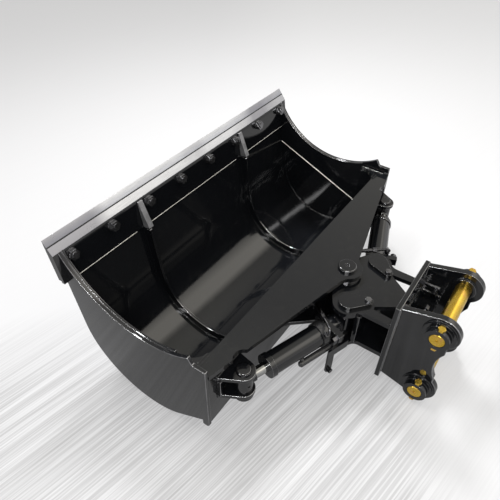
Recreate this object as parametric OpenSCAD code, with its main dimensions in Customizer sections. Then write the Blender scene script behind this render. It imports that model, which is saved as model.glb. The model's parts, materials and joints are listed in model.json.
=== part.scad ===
// Tilting grading bucket for a small excavator, with its hitch and two tilt cylinders.
// The bucket frame has its origin on the tilt axis, at the top face of the top plate.
// In it X runs along the width, Y from the hitch to the cutting edge, and Z is the tilt axis.
// The whole is then leaned onto the floor, on the rolled bottom and the two lower hitch lobes.

/* [Shell and side plates] */
// Width over the cutting edge
edge_w = 1200; // [1190:10:1400]
// Width over the side plates
side_w = 1166; // [1120:2:1180]
// Thickness of a side plate
side_t = 12; // [8:1:14]
// Thickness of the band inside each side plate
doubler_t = 8; // [5:1:10]
// Thickness of the rolled shell
shell_t = 8; // [6:1:10]
// Outer radius of the rolled bottom
bottom_r = 240; // [228:1:246]
// Distance from the tilt axis to the centre of the rolled bottom
bottom_y = 360; // [352:1:370]
// Depth of that centre below the top plate
bottom_depth = 93; // [86:1:100]
// Lean of the front wall away from the tilt axis, in degrees
front_lean = 8.63; // [7:0.1:10]
// Slope of the shell up to the rear wall, in degrees
rear_slope = 34.2; // [31:0.1:37]
// Radius of the mouth's edge in the side plates
mouth_r = 316.5; // [300:0.5:325]
// Distance from the tilt axis to the centre of that radius
mouth_y = 344; // [336:1:350]
// Height of that centre above the top plate
mouth_rise = 308.5; // [300:0.5:316]
// Rise of the side plates above the top plate
side_rise = 26; // [10:1:30]
// Distance from the tilt axis to the rear wall
rear_y = 112; // [104:1:118]
// Thickness of the rear wall
rear_t = 12; // [8:1:16]
// Set-back of the side plates' rear edges from the rear wall
side_back = 4; // [0:1:8]
// Depth of the foot under the rear wall
foot_depth = 247; // [242:1:252]
// Radius of the foot
foot_r = 12; // [8:1:12]

/* [Cutting edge] */
// Length of the front wall below the lip
front_len = 187; // [176:1:196]
// Length of the lip, measured to its sharp edge
lip_len = 148.3; // [142:0.1:156]
// Thickness of the lip
lip_t = 12; // [10:0.5:14]
// Set-back of the lip's outer face from the front wall
lip_back = 5; // [3:0.5:7]
// Thickness of the bolt-on edge
blade_t = 12; // [10:0.5:16]
// Gap between the front wall and the bolt-on edge
blade_gap = 7; // [3:0.5:12]
// Angle of the ground bevel to the lip's faces, in degrees
bevel_angle = 28.2; // [24:0.1:34]
// Number of edge bolts
edge_bolts_n = 8; // [4:1:10]
// Pitch of the edge bolts
edge_bolt_pitch = 155.7; // [100:0.1:160]
// Distance of the bolts from the lip's lower end
edge_bolt_v = 77; // [60:1:84]
// Diameter of the edge bolts
edge_bolt_d = 20; // [12:1:22]
// Size across the nuts' flats
edge_nut_af = 30; // [24:1:32]

/* [Inner ribs] */
// Distance of the inner ribs from the middle
rib_x = 270; // [200:1:320]
// Thickness of a rib
rib_t = 12; // [8:1:16]
// Depth of a rib off the shell
rib_depth = 30; // [20:1:36]
// Width of the bar at the lip
lip_bar_w = 20; // [12:1:24]
// Depth of that bar at its lower end
lip_bar_depth = 28; // [20:1:34]
// Length of that bar along the lip
lip_bar_len = 95; // [80:1:100]

/* [Top plate and pivot] */
// Thickness of the top plate
top_t = 16; // [12:1:18]
// Distance from the tilt axis to the top plate's front edge
top_front_y = 150; // [144:1:158]
// Radius of the corners against the side plates
corner_r = 70; // [50:1:76]
// Distance from the tilt axis to the top plate's rear corners
top_rear_y = 106; // [100:1:110]
// Slope of the rear edges towards the pivot, in degrees
top_rake = 13.1; // [12.5:0.1:13.8]
// Radius of the lug round the pivot
lug_r = 50; // [44:1:54]
// Radius of the hollow between the lug and the rear edge
lug_hollow_r = 45; // [30:1:50]
// Radius of the notch over a cylinder bracket
notch_r = 30; // [24:1:34]
// Diameter of the pivot pin
pivot_d = 60; // [50:1:64]
// Height of the pivot pin above the top plate
pivot_rise = 11; // [6:1:16]
// Thickness of the thrust washers
washer_t = 12.4; // [12:0.1:12.6]
// Radius of the thrust washers
washer_r = 45; // [38:1:48]
// Thickness of the lower pivot plate
lower_t = 16; // [12:1:20]
// Width of the lower pivot plate at the rear wall
lower_w = 340; // [240:5:400]

/* [Hitch] */
// Thickness of the knuckle's plates
knuckle_t = 16; // [14:1:18]
// Height between the knuckle's plates
knuckle_gap = 120; // [112:1:124]
// Distance of a cylinder's base pin from the middle
base_x = 107; // [104:0.5:110]
// Distance of a base pin behind the tilt axis
base_y = 62; // [60:0.5:64]
// Radius of the knuckle's lobes
lobe_r = 47; // [42:1:50]
// Half width of the knuckle behind its lobes
arm_x = 116; // [112:1:119]
// Radius of the hollow behind a lobe
arm_hollow_r = 25; // [15:1:30]
// Distance from the tilt axis to the headstock plate
head_y = 201.4; // [196:0.2:208]
// Thickness of the headstock plate
head_t = 15; // [12:1:18]
// Width of the headstock plate
head_w = 242; // [240:1:260]
// Height of the headstock plate above the top plate
head_rise = 54.5; // [46:0.5:60]
// Height of the headstock plate
head_h = 326; // [310:1:330]
// Thickness of the knuckle's webs
web_t = 14; // [10:1:16]
// Distance from the tilt axis to the cross web
web_y = 100; // [99:0.5:104]
// Half length of the cross web
web_x = 128; // [122:1:129]
// Diameter of a base pin
base_pin_d = 40; // [34:1:44]
// Thickness of a pin's flag
flag_t = 12; // [9:0.5:12.2]
// Radius of a flag round its pin
flag_r = 31; // [26:1:32]

/* [Ears and pins] */
// Thickness of an ear
ear_t = 20; // [16:1:24]
// Radius of an ear's lobes
ear_r = 55; // [50:1:58]
// Distance from the tilt axis to the hitch pins
pin_y = 333; // [326:1:340]
// Height of the upper pin above the top plate
pin_rise = 32; // [28:1:36]
// Distance between the two pins
pin_spacing = 252; // [240:1:260]
// Diameter of the pins
pin_d = 45; // [40:1:50]
// Radius of a boss's base ring
boss_base_r = 46; // [42:1:50]
// Thickness of a boss's base ring
boss_base_t = 9; // [6:1:12]
// Radius of a boss
boss_r = 35; // [32:1:38]
// Length of a boss outside its base ring
boss_len = 20.4; // [18:0.2:26]
// Length over the bosses, which the ears follow
pin_len = 288.8; // [280:0.2:300]
// Thickness of the rings inside the ears
inner_ring_t = 7; // [4:1:9]
// Diameter of the bolts through the bosses
lock_d = 12; // [8:1:14]

/* [Cylinders] */
// Distance of a rod pin from the middle
rod_pin_x = 472; // [466:1:478]
// Distance of a rod pin in front of the tilt axis
rod_pin_y = 66; // [62:1:70]
// Diameter of a rod pin
rod_pin_d = 38; // [34:1:42]
// Height of a rod eye
eye_h = 66; // [60:1:67]
// Radius of a rod eye
eye_r = 27; // [25:0.5:29]
// Depth of the cylinders' axes below the top plate
cyl_depth = 102; // [100:0.5:104]
// Diameter of a rod
rod_d = 32; // [26:1:36]
// Diameter of a barrel
barrel_d = 70; // [64:1:72]
// Wall of a barrel
barrel_wall = 7; // [5:0.5:9]
// Distance from the rod pin to the gland
gland_s = 76; // [74:1:80]
// Length of the gland
gland_len = 18; // [14:1:22]
// Distance from the base pin to the barrel's closed end
base_s = 35; // [34:1:38]
// Radius of a base eye
base_eye_r = 22; // [21:0.5:22.5]
// Height of a base eye
base_eye_h = 80; // [60:1:90]

/* [Cylinder brackets] */
// Thickness of a bracket's lugs
lug_t = 14; // [10:1:16]
// Radius of a bracket's lugs
bracket_r = 34; // [31:1:36]
// Clearance over and under a rod eye
eye_gap = 1; // [0.5:0.1:2]

/* [Hidden] */
$fn = 96;

// Overrun of a cut past the face that it goes through
cut = 1;
// Radial running fit of a pin or shaft
run_fit = 0.05;
// Radial clearance of a bolt in its hole
bolt_fit = 0.5;
// Gap between faces that move past each other
slip_gap = 0.3;
// Gap between curved faces that are welded or clamped together
seat_gap = 0.1;
// A length longer than the whole bucket, for cuts that take everything
far = 2 * edge_w;
// Depth by which a tangent side starts inside its arc, so that the two join
blend = 0.02;

function unit(v) = v / norm(v);

// Point where a tangent from p touches the circle, on the side given by turn
function touch(p, centre, r, turn) =
    let (d = norm(centre - p), along = unit(p - centre), a = acos(r / d) * turn)
    centre + (r - blend) * [along.x * cos(a) - along.y * sin(a), along.x * sin(a) + along.y * cos(a)];

// Angle from the line between two circles to their outer tangent's contact points
function tangent_angle(p1, r1, p2, r2) = acos((r1 - r2) / norm(p2 - p1));
function polar(centre, r, a) = centre + (r - blend) * [cos(a), sin(a)];
function heading(v) = atan2(v.y, v.x);

// Plate bounded by two arcs and the straight tangents that join them
module pill(p1, r1, p2, r2, h) {
    turn = tangent_angle(p1, r1, p2, r2);
    way = heading(p2 - p1);
    translate(p1) cylinder(r = r1, h = h);
    translate(p2) cylinder(r = r2, h = h);
    linear_extrude(h) polygon([
        polar(p1, r1, way + turn), polar(p2, r2, way + turn),
        polar(p2, r2, way - turn), polar(p1, r1, way - turn)
    ]);
}

// Extrudes each (y, z) outline along X from x0 to x1
module along_x(x0, x1) {
    for (i = [0 : $children - 1])
        translate([x0, 0, 0]) rotate([90, 0, 90]) linear_extrude(x1 - x0) children(i);
}
// Extrudes each (x, y) outline along Z from z0 to z1
module along_z(z0, z1) {
    for (i = [0 : $children - 1])
        translate([0, 0, z0]) linear_extrude(z1 - z0) children(i);
}
// Closes an outline given by its right-hand half
module symmetric(half) {
    polygon(concat(half, [for (i = [len(half) - 1 : -1 : 0]) [-half[i].x, half[i].y]]));
}
module both_sides() {
    children();
    mirror([1, 0, 0]) children();
}
module hex_prism(across_flats, h) {
    cylinder(d = across_flats / cos(30), h = h, $fn = 6);
}

// Front wall and rear slope frames, in the (y, z) plane
bottom_c = [bottom_y, -bottom_depth];
front_foot = bottom_c + bottom_r * [cos(front_lean), -sin(front_lean)];
front_out = [cos(front_lean), -sin(front_lean)];
front_up = [sin(front_lean), cos(front_lean)];
function front_point(u, v) = front_foot + u * front_out + v * front_up;
slope_in = [sin(rear_slope), cos(rear_slope)];
module front_frame() {
    translate(front_foot) rotate(-front_lean) children();
}
slope_foot = bottom_c - bottom_r * slope_in;
slope_up = [-cos(rear_slope), sin(rear_slope)];
function slope_point(depth, along) = slope_foot + depth * slope_in + along * slope_up;
rear_in_y = rear_y + rear_t;
slope_len = (slope_foot.x - rear_y) / cos(rear_slope);
foot_c = [rear_y - side_back + foot_r, -foot_depth + foot_r];
side_out = side_w / 2;
side_in = side_out - side_t;
doubler_in = side_in - doubler_t;

// Lip and bolt-on edge, measured in the front wall's frame
lip_out = -lip_back;
lip_in = lip_out - lip_t;
lip_v = front_len;
tip_v = lip_v + lip_len;
blade_out = lip_out + blade_t;
blade_v = lip_v + blade_gap;
bevel_run = 1 / tan(bevel_angle);
function bevel_v(u) = tip_v - (blade_out - u) * bevel_run;
bolt_v = lip_v + edge_bolt_v;
tip = front_point(blade_out, tip_v);

// Lean of the bucket frame on the floor, from the common tangent of the bottom and the lower lobes
lower_pin_c = [-pin_y, pin_rise - pin_spacing];
upper_pin_c = [-pin_y, pin_rise];
rest_vector = bottom_c - lower_pin_c;
rest_angle = asin((bottom_r - ear_r) / norm(rest_vector)) - heading(rest_vector);
function leaned(p) =
    [p.x * cos(rest_angle) - p.y * sin(rest_angle), p.x * sin(rest_angle) + p.y * cos(rest_angle)];
floor_z = leaned(bottom_c).y - bottom_r;
front_end_y = leaned(tip).x;
rear_end_y = leaned(upper_pin_c).x - ear_r;

// Places the bucket frame on the floor, centred on its overall box
module placed() {
    translate([0, -(front_end_y + rear_end_y) / 2, -floor_z]) rotate([rest_angle, 0, 0]) children();
}

// Outline of a side plate without its mouth and its rolled bottom
module side_outline() {
    polygon([
        [rear_y - side_back, side_rise],
        [mouth_y, side_rise],
        front_point(lip_in, tip_v),
        front_point(lip_in, lip_v),
        front_point(0, lip_v),
        bottom_c + (bottom_r - blend) * front_out,
        bottom_c,
        bottom_c - (bottom_r - blend) * slope_in,
        slope_point(0, slope_len - 2 * foot_r),
        [foot_c.x + foot_r, -foot_depth],
        [foot_c.x, -foot_depth + blend],
        foot_c,
        [rear_y - side_back + blend, foot_c.y]
    ]);
}
module mouth_outline() {
    translate([mouth_y, mouth_rise]) circle(r = mouth_r);
}
module side_plate() {
    color("#17181a") difference() {
        along_x(side_in, side_out) {
            side_outline();
            translate(bottom_c) circle(r = bottom_r);
            translate(foot_c) circle(r = foot_r);
        }
        along_x(side_in - cut, side_out + cut) mouth_outline();
    }
}
module side_plate_left() { placed() mirror([1, 0, 0]) side_plate(); }
module side_plate_right() { placed() side_plate(); }

// Band inside a side plate, between the mouth and a straight lower edge that runs
// from this height on the front wall to this depth at the rear wall
band_front_v = 117;
band_rear_depth = 213;
module band_outline() {
    difference() {
        polygon([
            front_point(-shell_t - seat_gap, band_front_v),
            front_point(-shell_t - seat_gap, lip_v),
            front_point(lip_in, lip_v),
            front_point(lip_in, tip_v),
            [top_front_y + corner_r, side_rise],
            [top_front_y + corner_r, -top_t],
            [rear_in_y, -top_t],
            [rear_in_y, -band_rear_depth]
        ]);
        mouth_outline();
    }
}
module side_doubler() {
    color("#141517") along_x(doubler_in, side_in) band_outline();
}
module side_doubler_left() { placed() mirror([1, 0, 0]) side_doubler(); }
module side_doubler_right() { placed() side_doubler(); }

// Inside of the bowl at a depth under the shell's outer face, closed by points given
module bowl_solid(depth, front_extra, slope_extra, closing, x0, x1) {
    r = bottom_r - depth;
    along_x(x0, x1) {
        translate(bottom_c) circle(r = r);
        polygon(concat([
            front_point(-depth, front_len + front_extra),
            bottom_c + (r - blend) * front_out,
            bottom_c,
            bottom_c - (r - blend) * slope_in,
            slope_point(depth, slope_len + slope_extra)
        ], closing));
    }
}
// Liner of the bowl from one depth to another, from the rear wall to the lip
module bowl_band(depth_out, depth_in, x0, x1) {
    difference() {
        bowl_solid(depth_out, 0, bottom_r, [], x0, x1);
        bowl_solid(depth_in, bottom_r, 2 * bottom_r, [[0, mouth_rise], [mouth_y, mouth_rise]],
            x0 - cut, x1 + cut);
        along_x(x0 - cut, x1 + cut) {
            translate(front_point(-bottom_r, front_len)) rotate(-front_lean) square(2 * bottom_r);
            translate([rear_in_y - far, -far]) square([far, 2 * far]);
        }
    }
}
module shell() {
    color("#101113") placed() bowl_band(0, shell_t, -side_in, side_in);
}
module rear_wall() {
    color("#131416") placed() along_x(-side_in, side_in) polygon([
        [rear_y, -top_t],
        [rear_in_y, -top_t],
        [rear_in_y, -foot_depth],
        [rear_y + rear_t / 2, -foot_depth],
        [rear_y, -foot_depth + foot_r / 2]
    ]);
}
module inner_rib() {
    color("#141517") bowl_band(shell_t + seat_gap, shell_t + rib_depth, rib_x - rib_t / 2, rib_x + rib_t / 2);
}
module inner_rib_left() { placed() mirror([1, 0, 0]) inner_rib(); }
module inner_rib_right() { placed() inner_rib(); }
// Tapered bars that carry the ribs up the lip's inner face
module lip_bars() {
    color("#c9cbcc") placed() both_sides()
        along_x(rib_x - lip_bar_w / 2, rib_x + lip_bar_w / 2)
            front_frame() polygon([
                [lip_in, lip_v], [lip_in, lip_v + lip_bar_len],
                [lip_in - lip_bar_depth / 5, lip_v + lip_bar_len],
                [lip_in - lip_bar_depth, lip_v]
            ]);
}

// Places its children at each edge bolt, along the bolt's axis out of the lip
module at_edge_bolts() {
    for (i = [0 : edge_bolts_n - 1])
        translate([(i - (edge_bolts_n - 1) / 2) * edge_bolt_pitch, 0, 0])
            translate([0, front_point(0, bolt_v).x, front_point(0, bolt_v).y])
                rotate([-front_lean, 0, 0]) rotate([-90, 0, 0]) children();
}
edge_head_share = 0.9;
edge_nut_share = 0.8;
edge_washer_share = 0.15;
edge_washer_d_share = 1.18;
edge_head_r = edge_bolt_d * edge_head_share;
edge_head_h = edge_head_r - edge_bolt_d / 2;
edge_nut_h = edge_bolt_d * edge_nut_share;
edge_washer_t = edge_bolt_d * edge_washer_share;
module lip_plate() {
    color("#16171a") placed() difference() {
        along_x(-edge_w / 2, edge_w / 2) front_frame() polygon([
            [lip_in, lip_v], [lip_out, lip_v],
            [lip_out, bevel_v(lip_out)], [lip_in, bevel_v(lip_in)]
        ]);
        at_edge_bolts() translate([0, 0, lip_in - cut])
            cylinder(d = edge_bolt_d + 2 * bolt_fit, h = lip_t + 2 * cut);
    }
}
module cutting_edge() {
    color("#b9bcc0") placed() difference() {
        along_x(-edge_w / 2, edge_w / 2) front_frame() polygon([
            [lip_out, blade_v], [blade_out, blade_v],
            [blade_out, tip_v], [lip_out, bevel_v(lip_out)]
        ]);
        at_edge_bolts() {
            translate([0, 0, lip_out - cut])
                cylinder(d = edge_bolt_d + 2 * bolt_fit, h = blade_t + 2 * cut);
            translate([0, 0, blade_out - edge_head_h])
                cylinder(r1 = edge_bolt_d / 2 + bolt_fit, r2 = edge_head_r + bolt_fit, h = edge_head_h);
        }
    }
}
module edge_bolts() {
    color("#2a2b2d") placed() at_edge_bolts() {
        translate([0, 0, lip_in - edge_washer_t - edge_nut_h - edge_washer_t])
            cylinder(d = edge_bolt_d, h = blade_out - lip_in + edge_nut_h + 2 * edge_washer_t - edge_head_h);
        translate([0, 0, blade_out - edge_head_h])
            cylinder(r1 = edge_bolt_d / 2, r2 = edge_head_r, h = edge_head_h);
        translate([0, 0, lip_in - edge_washer_t])
            cylinder(d = edge_nut_af * edge_washer_d_share, h = edge_washer_t);
        translate([0, 0, lip_in - edge_washer_t - edge_nut_h])
            hex_prism(edge_nut_af, edge_nut_h);
    }
}

// Top plate, seen from above
top_slope = [cos(top_rake), sin(top_rake)];
top_out = [sin(top_rake), -cos(top_rake)];
top_corner = [side_in, top_rear_y];
edge_offset = top_corner * top_out;
hollow_side = sqrt(pow(lug_r + lug_hollow_r, 2) - pow(edge_offset + lug_hollow_r, 2));
hollow_c = (edge_offset + lug_hollow_r) * top_out + hollow_side * top_slope;
hollow_on_edge = edge_offset * top_out + hollow_side * top_slope;
hollow_on_lug = hollow_c * lug_r / (lug_r + lug_hollow_r);
corner_c = [doubler_in - corner_r, top_front_y + corner_r];
module lug_hollow() {
    difference() {
        polygon([[0, 0], hollow_on_edge, hollow_c, hollow_on_lug]);
        translate(hollow_c) circle(r = lug_hollow_r + blend);
    }
}
module corner_fill() {
    difference() {
        translate([corner_c.x, top_front_y - blend]) square([corner_r, corner_r]);
        translate(corner_c) circle(r = corner_r + blend);
    }
}
module top_plate() {
    color("#1b1c1e") placed() difference() {
        union() {
            along_z(-top_t, 0) {
                symmetric([
                    [0, top_front_y], [doubler_in, top_front_y], [doubler_in, corner_c.y],
                    [side_in, corner_c.y], top_corner, hollow_on_edge, [0, 0]
                ]);
                circle(r = lug_r);
            }
            both_sides() along_z(-top_t, 0) {
                corner_fill();
                lug_hollow();
            }
        }
        translate([0, 0, -top_t - cut]) {
            cylinder(d = pivot_d + 2 * run_fit, h = top_t + 2 * cut);
            both_sides() translate(rod_pin_c) cylinder(r = notch_r, h = top_t + 2 * cut);
        }
    }
}

// Heights of the pivot's layers, from the top plate down
knuckle_top = -top_t - washer_t - 2 * slip_gap;
web_top = knuckle_top - knuckle_t;
web_low = web_top - knuckle_gap;
knuckle_low = web_low - knuckle_t;
lower_top = knuckle_low - washer_t / 2 - 2 * slip_gap;
lower_low = lower_top - lower_t;
keeper_t = 8;
keeper_lip = 10;
keeper_r = pivot_d / 2 + keeper_lip;
pin_round = 3;
nipple_well_r = 8;
module pivot_pin() {
    color("#1d1e20") placed() difference() {
        translate([0, 0, lower_low]) rotate_extrude() polygon([
            [0, 0], [pivot_d / 2, 0],
            [pivot_d / 2, pivot_rise - lower_low - pin_round],
            [pivot_d / 2 - pin_round, pivot_rise - lower_low],
            [0, pivot_rise - lower_low]
        ]);
        translate([0, 0, pivot_rise - nipple_well_r]) cylinder(r = nipple_well_r, h = nipple_well_r + cut);
    }
}
keeper_bolt_r = pivot_d / 5;
module pivot_keeper() {
    color("#2a2b2d") placed() {
        translate([0, 0, lower_low - keeper_t]) cylinder(r = keeper_r, h = keeper_t);
        for (x = [-keeper_bolt_r, keeper_bolt_r])
            translate([x, 0, lower_low - 2 * keeper_t]) hex_prism(2 * keeper_t, keeper_t);
    }
}
module washer_ring(z0, t) {
    translate([0, 0, z0]) difference() {
        cylinder(r = washer_r, h = t);
        translate([0, 0, -cut]) cylinder(d = pivot_d + 2 * run_fit, h = t + 2 * cut);
    }
}
module thrust_washers() {
    color("#55585c") placed() {
        washer_ring(knuckle_top + slip_gap, washer_t);
        washer_ring(lower_top + slip_gap, washer_t / 2);
    }
}
module lower_pivot_plate() {
    color("#131416") placed() difference() {
        along_z(lower_low, lower_top) {
            circle(r = lug_r);
            polygon([
                [-lower_w / 2, rear_y], [lower_w / 2, rear_y],
                touch([lower_w / 2, rear_y], [0, 0], lug_r, -1), [0, 0],
                touch([-lower_w / 2, rear_y], [0, 0], lug_r, 1)
            ]);
        }
        translate([0, 0, lower_low - cut]) cylinder(d = pivot_d + 2 * run_fit, h = lower_t + 2 * cut);
    }
}
gusset_x = lower_w / 6;
gusset_gap = 14;
gusset_front_y = lug_r + gusset_gap;
module pivot_gussets() {
    color("#131416") placed() both_sides()
        along_x(gusset_x - rear_t / 2, gusset_x + rear_t / 2) polygon([
            [rear_y, -top_t], [rear_y, lower_top],
            [gusset_front_y, lower_top], [gusset_front_y + rear_t, (lower_top - top_t) / 2],
            [gusset_front_y, -top_t]
        ]);
}

// Cylinder brackets on the rear wall
eye_top = -cyl_depth + eye_h / 2;
eye_low = -cyl_depth - eye_h / 2;
upper_lug_low = eye_top + eye_gap;
upper_lug_top = upper_lug_low + lug_t;
lower_lug_top = eye_low - eye_gap;
lower_lug_low = lower_lug_top - lug_t;
rod_pin_c = [rod_pin_x, rod_pin_y];
bracket_out_share = 1.9;
bracket_in_share = 1.25;
bracket_out_x = rod_pin_x + bracket_out_share * bracket_r;
bracket_in_x = rod_pin_x - bracket_in_share * bracket_r;
bracket_gusset_t = 12;
lower_boss_h = 18;
pin_head_h = 8;
pin_head_lip = 3;
module lug_outline() {
    translate(rod_pin_c) circle(r = bracket_r);
    polygon([
        rod_pin_c,
        touch([bracket_in_x, rear_y], rod_pin_c, bracket_r, 1),
        [bracket_in_x, rear_y], [bracket_out_x, rear_y],
        touch([bracket_out_x, rear_y], rod_pin_c, bracket_r, -1)
    ]);
}
module bracket_upper_lugs() {
    color("#17181a") placed() both_sides() difference() {
        along_z(upper_lug_low, upper_lug_top) lug_outline();
        translate([rod_pin_c.x, rod_pin_c.y, upper_lug_low - cut])
            cylinder(d = rod_pin_d + 2 * run_fit, h = lug_t + 2 * cut);
    }
}
module bracket_lower_lugs() {
    color("#17181a") placed() both_sides() difference() {
        union() {
            along_z(lower_lug_low, lower_lug_top) lug_outline();
            translate([rod_pin_c.x, rod_pin_c.y, lower_lug_low - lower_boss_h])
                cylinder(r = bracket_r - bracket_gusset_t / 3, h = lower_boss_h);
        }
        translate([rod_pin_c.x, rod_pin_c.y, lower_lug_low - lower_boss_h - cut])
            cylinder(d = rod_pin_d + 2 * run_fit, h = lug_t + lower_boss_h + 2 * cut);
    }
}
module bracket_gussets() {
    color("#17181a") placed() both_sides()
        along_x(bracket_out_x - bracket_gusset_t, bracket_out_x) polygon([
            [rear_y, upper_lug_low], [rear_y, lower_lug_top],
            [rear_y - lug_t, lower_lug_top], [rear_y - lug_t, upper_lug_low]
        ]);
}
module rod_pins() {
    under_head = upper_lug_top - lower_lug_low + lower_boss_h;
    head_r = rod_pin_d / 2 + pin_head_lip;
    color("#232427") placed() both_sides()
        translate([rod_pin_c.x, rod_pin_c.y, lower_lug_low - lower_boss_h])
            rotate_extrude() polygon([
                [0, 0], [rod_pin_d / 2, 0], [rod_pin_d / 2, under_head], [head_r, under_head],
                [head_r, under_head + pin_head_h - pin_round],
                [head_r - pin_round, under_head + pin_head_h],
                [0, under_head + pin_head_h]
            ]);
}
nipple_r = 4;
nipple_ball_share = 0.6;
module nipple() {
    hex_prism(2 * nipple_r, nipple_r);
    cylinder(r = nipple_r / 2, h = 2 * nipple_r);
    translate([0, 0, 2 * nipple_r]) sphere(r = nipple_r * nipple_ball_share);
}
module bucket_nipples() {
    color("#b7b9ba") placed() translate([0, 0, pivot_rise - nipple_well_r]) nipple();
}

// Knuckle of the hitch, seen from above
base_c = [base_x, -base_y];
arm_hollow_x = arm_x + arm_hollow_r;
arm_hollow_dx = arm_hollow_x - base_x;
arm_hollow_y = -base_y - sqrt(pow(lobe_r + arm_hollow_r, 2) - pow(arm_hollow_dx, 2));
arm_hollow_c = [arm_hollow_x, arm_hollow_y];
arm_hollow_on_lobe = base_c + (arm_hollow_c - base_c) * lobe_r / (lobe_r + arm_hollow_r);
knuckle_set_back = 2;
knuckle_front_r = lug_r - knuckle_set_back;
module arm_hollow() {
    difference() {
        polygon([base_c, arm_hollow_on_lobe, arm_hollow_c, [arm_x, arm_hollow_y], [base_x, arm_hollow_y]]);
        translate(arm_hollow_c) circle(r = arm_hollow_r + blend);
    }
}
module knuckle_plate(z0, z1) {
    along_z(z0, z1) symmetric([
        [0, 0], [base_x, -base_y], [base_x, arm_hollow_y],
        [arm_x, arm_hollow_y], [arm_x, -head_y], [0, -head_y]
    ]);
    both_sides() {
        translate([0, 0, z0]) pill([0, 0], knuckle_front_r, base_c, lobe_r, z1 - z0);
        along_z(z0, z1) arm_hollow();
    }
}
flag_reach = [-33, -49];
flag_bolt_c = base_c + flag_reach;
arm_w = 26;
tongue_x = 27;
window_shift = [8, -16];
window_apex = flag_bolt_c + window_shift;
window_end = 6;
module window_outline() {
    polygon([
        window_apex + [window_end / 2, 0], window_apex + [-window_end / 2, 0],
        [tongue_x, -head_y - cut], [arm_x - arm_w, -head_y - cut]
    ]);
}
flag_bolt_d = 12;
module knuckle_top_plate() {
    color("#1a1b1d") placed() difference() {
        knuckle_plate(web_top, knuckle_top);
        both_sides() along_z(web_top - cut, knuckle_top + cut) window_outline();
        translate([0, 0, web_top - cut]) cylinder(d = tube_bore, h = knuckle_t + 2 * cut);
        both_sides() {
            translate([base_c.x, base_c.y, web_top - cut])
                cylinder(d = base_pin_d + 2 * run_fit, h = knuckle_t + 2 * cut);
            translate([flag_bolt_c.x, flag_bolt_c.y, web_top - cut])
                cylinder(d = flag_bolt_d + 2 * bolt_fit, h = knuckle_t + 2 * cut);
        }
    }
}
module knuckle_bottom_plate() {
    color("#161719") placed() difference() {
        knuckle_plate(knuckle_low, web_low);
        translate([0, 0, knuckle_low - cut]) cylinder(d = tube_bore, h = knuckle_t + 2 * cut);
        both_sides() translate([base_c.x, base_c.y, knuckle_low - cut])
            cylinder(d = base_pin_d + 2 * run_fit, h = knuckle_t + 2 * cut);
    }
}
bush_wall = 4;
tube_bore = pivot_d + 2 * bush_wall;
tube_od = 90;
tube_pitch = 20;
tube_drop = 30;
hard_tube_d = 12;
tube_nut_af = 16;
boss_out = pin_len / 2;
ear_out = boss_out - boss_len - boss_base_t;
ear_in = ear_out - ear_t;
bulkhead_gap = 29;
bulkhead_x = ear_in - bulkhead_gap;
tube_x = bulkhead_x - tube_pitch / 2;
module at_hitch_tubes() {
    for (side = [-1, 1], i = [0, 1])
        translate([side * (tube_x + i * tube_pitch), -web_y - web_t, web_top - tube_drop])
            rotate([90, 0, 0]) children();
}
module cross_web() {
    color("#1a1b1d") placed() translate([-web_x, -web_y - web_t, web_low])
        cube([2 * web_x, web_t, knuckle_gap]);
}
module centre_web() {
    color("#1a1b1d") placed() translate([-web_t / 2, -head_y, web_low])
        cube([web_t, head_y - web_y - web_t, knuckle_gap]);
}
module pivot_tube() {
    color("#161719") placed() translate([0, 0, web_low]) difference() {
        cylinder(d = tube_od, h = knuckle_gap);
        translate([0, 0, -cut]) cylinder(d = tube_bore, h = knuckle_gap + 2 * cut);
    }
}
bush_len = 40;
module bush(z0, h) {
    translate([0, 0, z0]) difference() {
        cylinder(d = tube_bore, h = h);
        translate([0, 0, -cut]) cylinder(d = pivot_d + 2 * run_fit, h = h + 2 * cut);
    }
}
module pivot_bushes() {
    color("#a8833c") placed() {
        bush(knuckle_top - bush_len, bush_len);
        bush(knuckle_low, bush_len);
    }
}
flag_end_r = 15;
module base_pins() {
    color("#1a1b1d") placed() both_sides() {
        difference() {
            translate([0, 0, knuckle_top]) pill(base_c, flag_r, flag_bolt_c, flag_end_r, flag_t);
            translate([flag_bolt_c.x, flag_bolt_c.y, knuckle_top - cut])
                cylinder(d = flag_bolt_d + 2 * bolt_fit, h = flag_t + 2 * cut);
        }
        translate([base_c.x, base_c.y, web_top]) cylinder(d = base_pin_d, h = knuckle_t);
    }
}
foot_flange_t = 6;
module base_pin_feet() {
    color("#232427") placed() both_sides() translate([base_c.x, base_c.y, knuckle_low - foot_flange_t]) {
        cylinder(d = base_pin_d, h = knuckle_t + foot_flange_t);
        cylinder(d = base_pin_d + 3 * foot_flange_t, h = foot_flange_t);
    }
}
flag_bolt_af = 18;
flag_bolt_head = 8;
module flag_bolts() {
    color("#2e2f31") placed() both_sides() translate([flag_bolt_c.x, flag_bolt_c.y, web_top]) {
        cylinder(d = flag_bolt_d, h = knuckle_t + flag_t);
        translate([0, 0, knuckle_t + flag_t]) hex_prism(flag_bolt_af, flag_bolt_head);
    }
}

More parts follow.
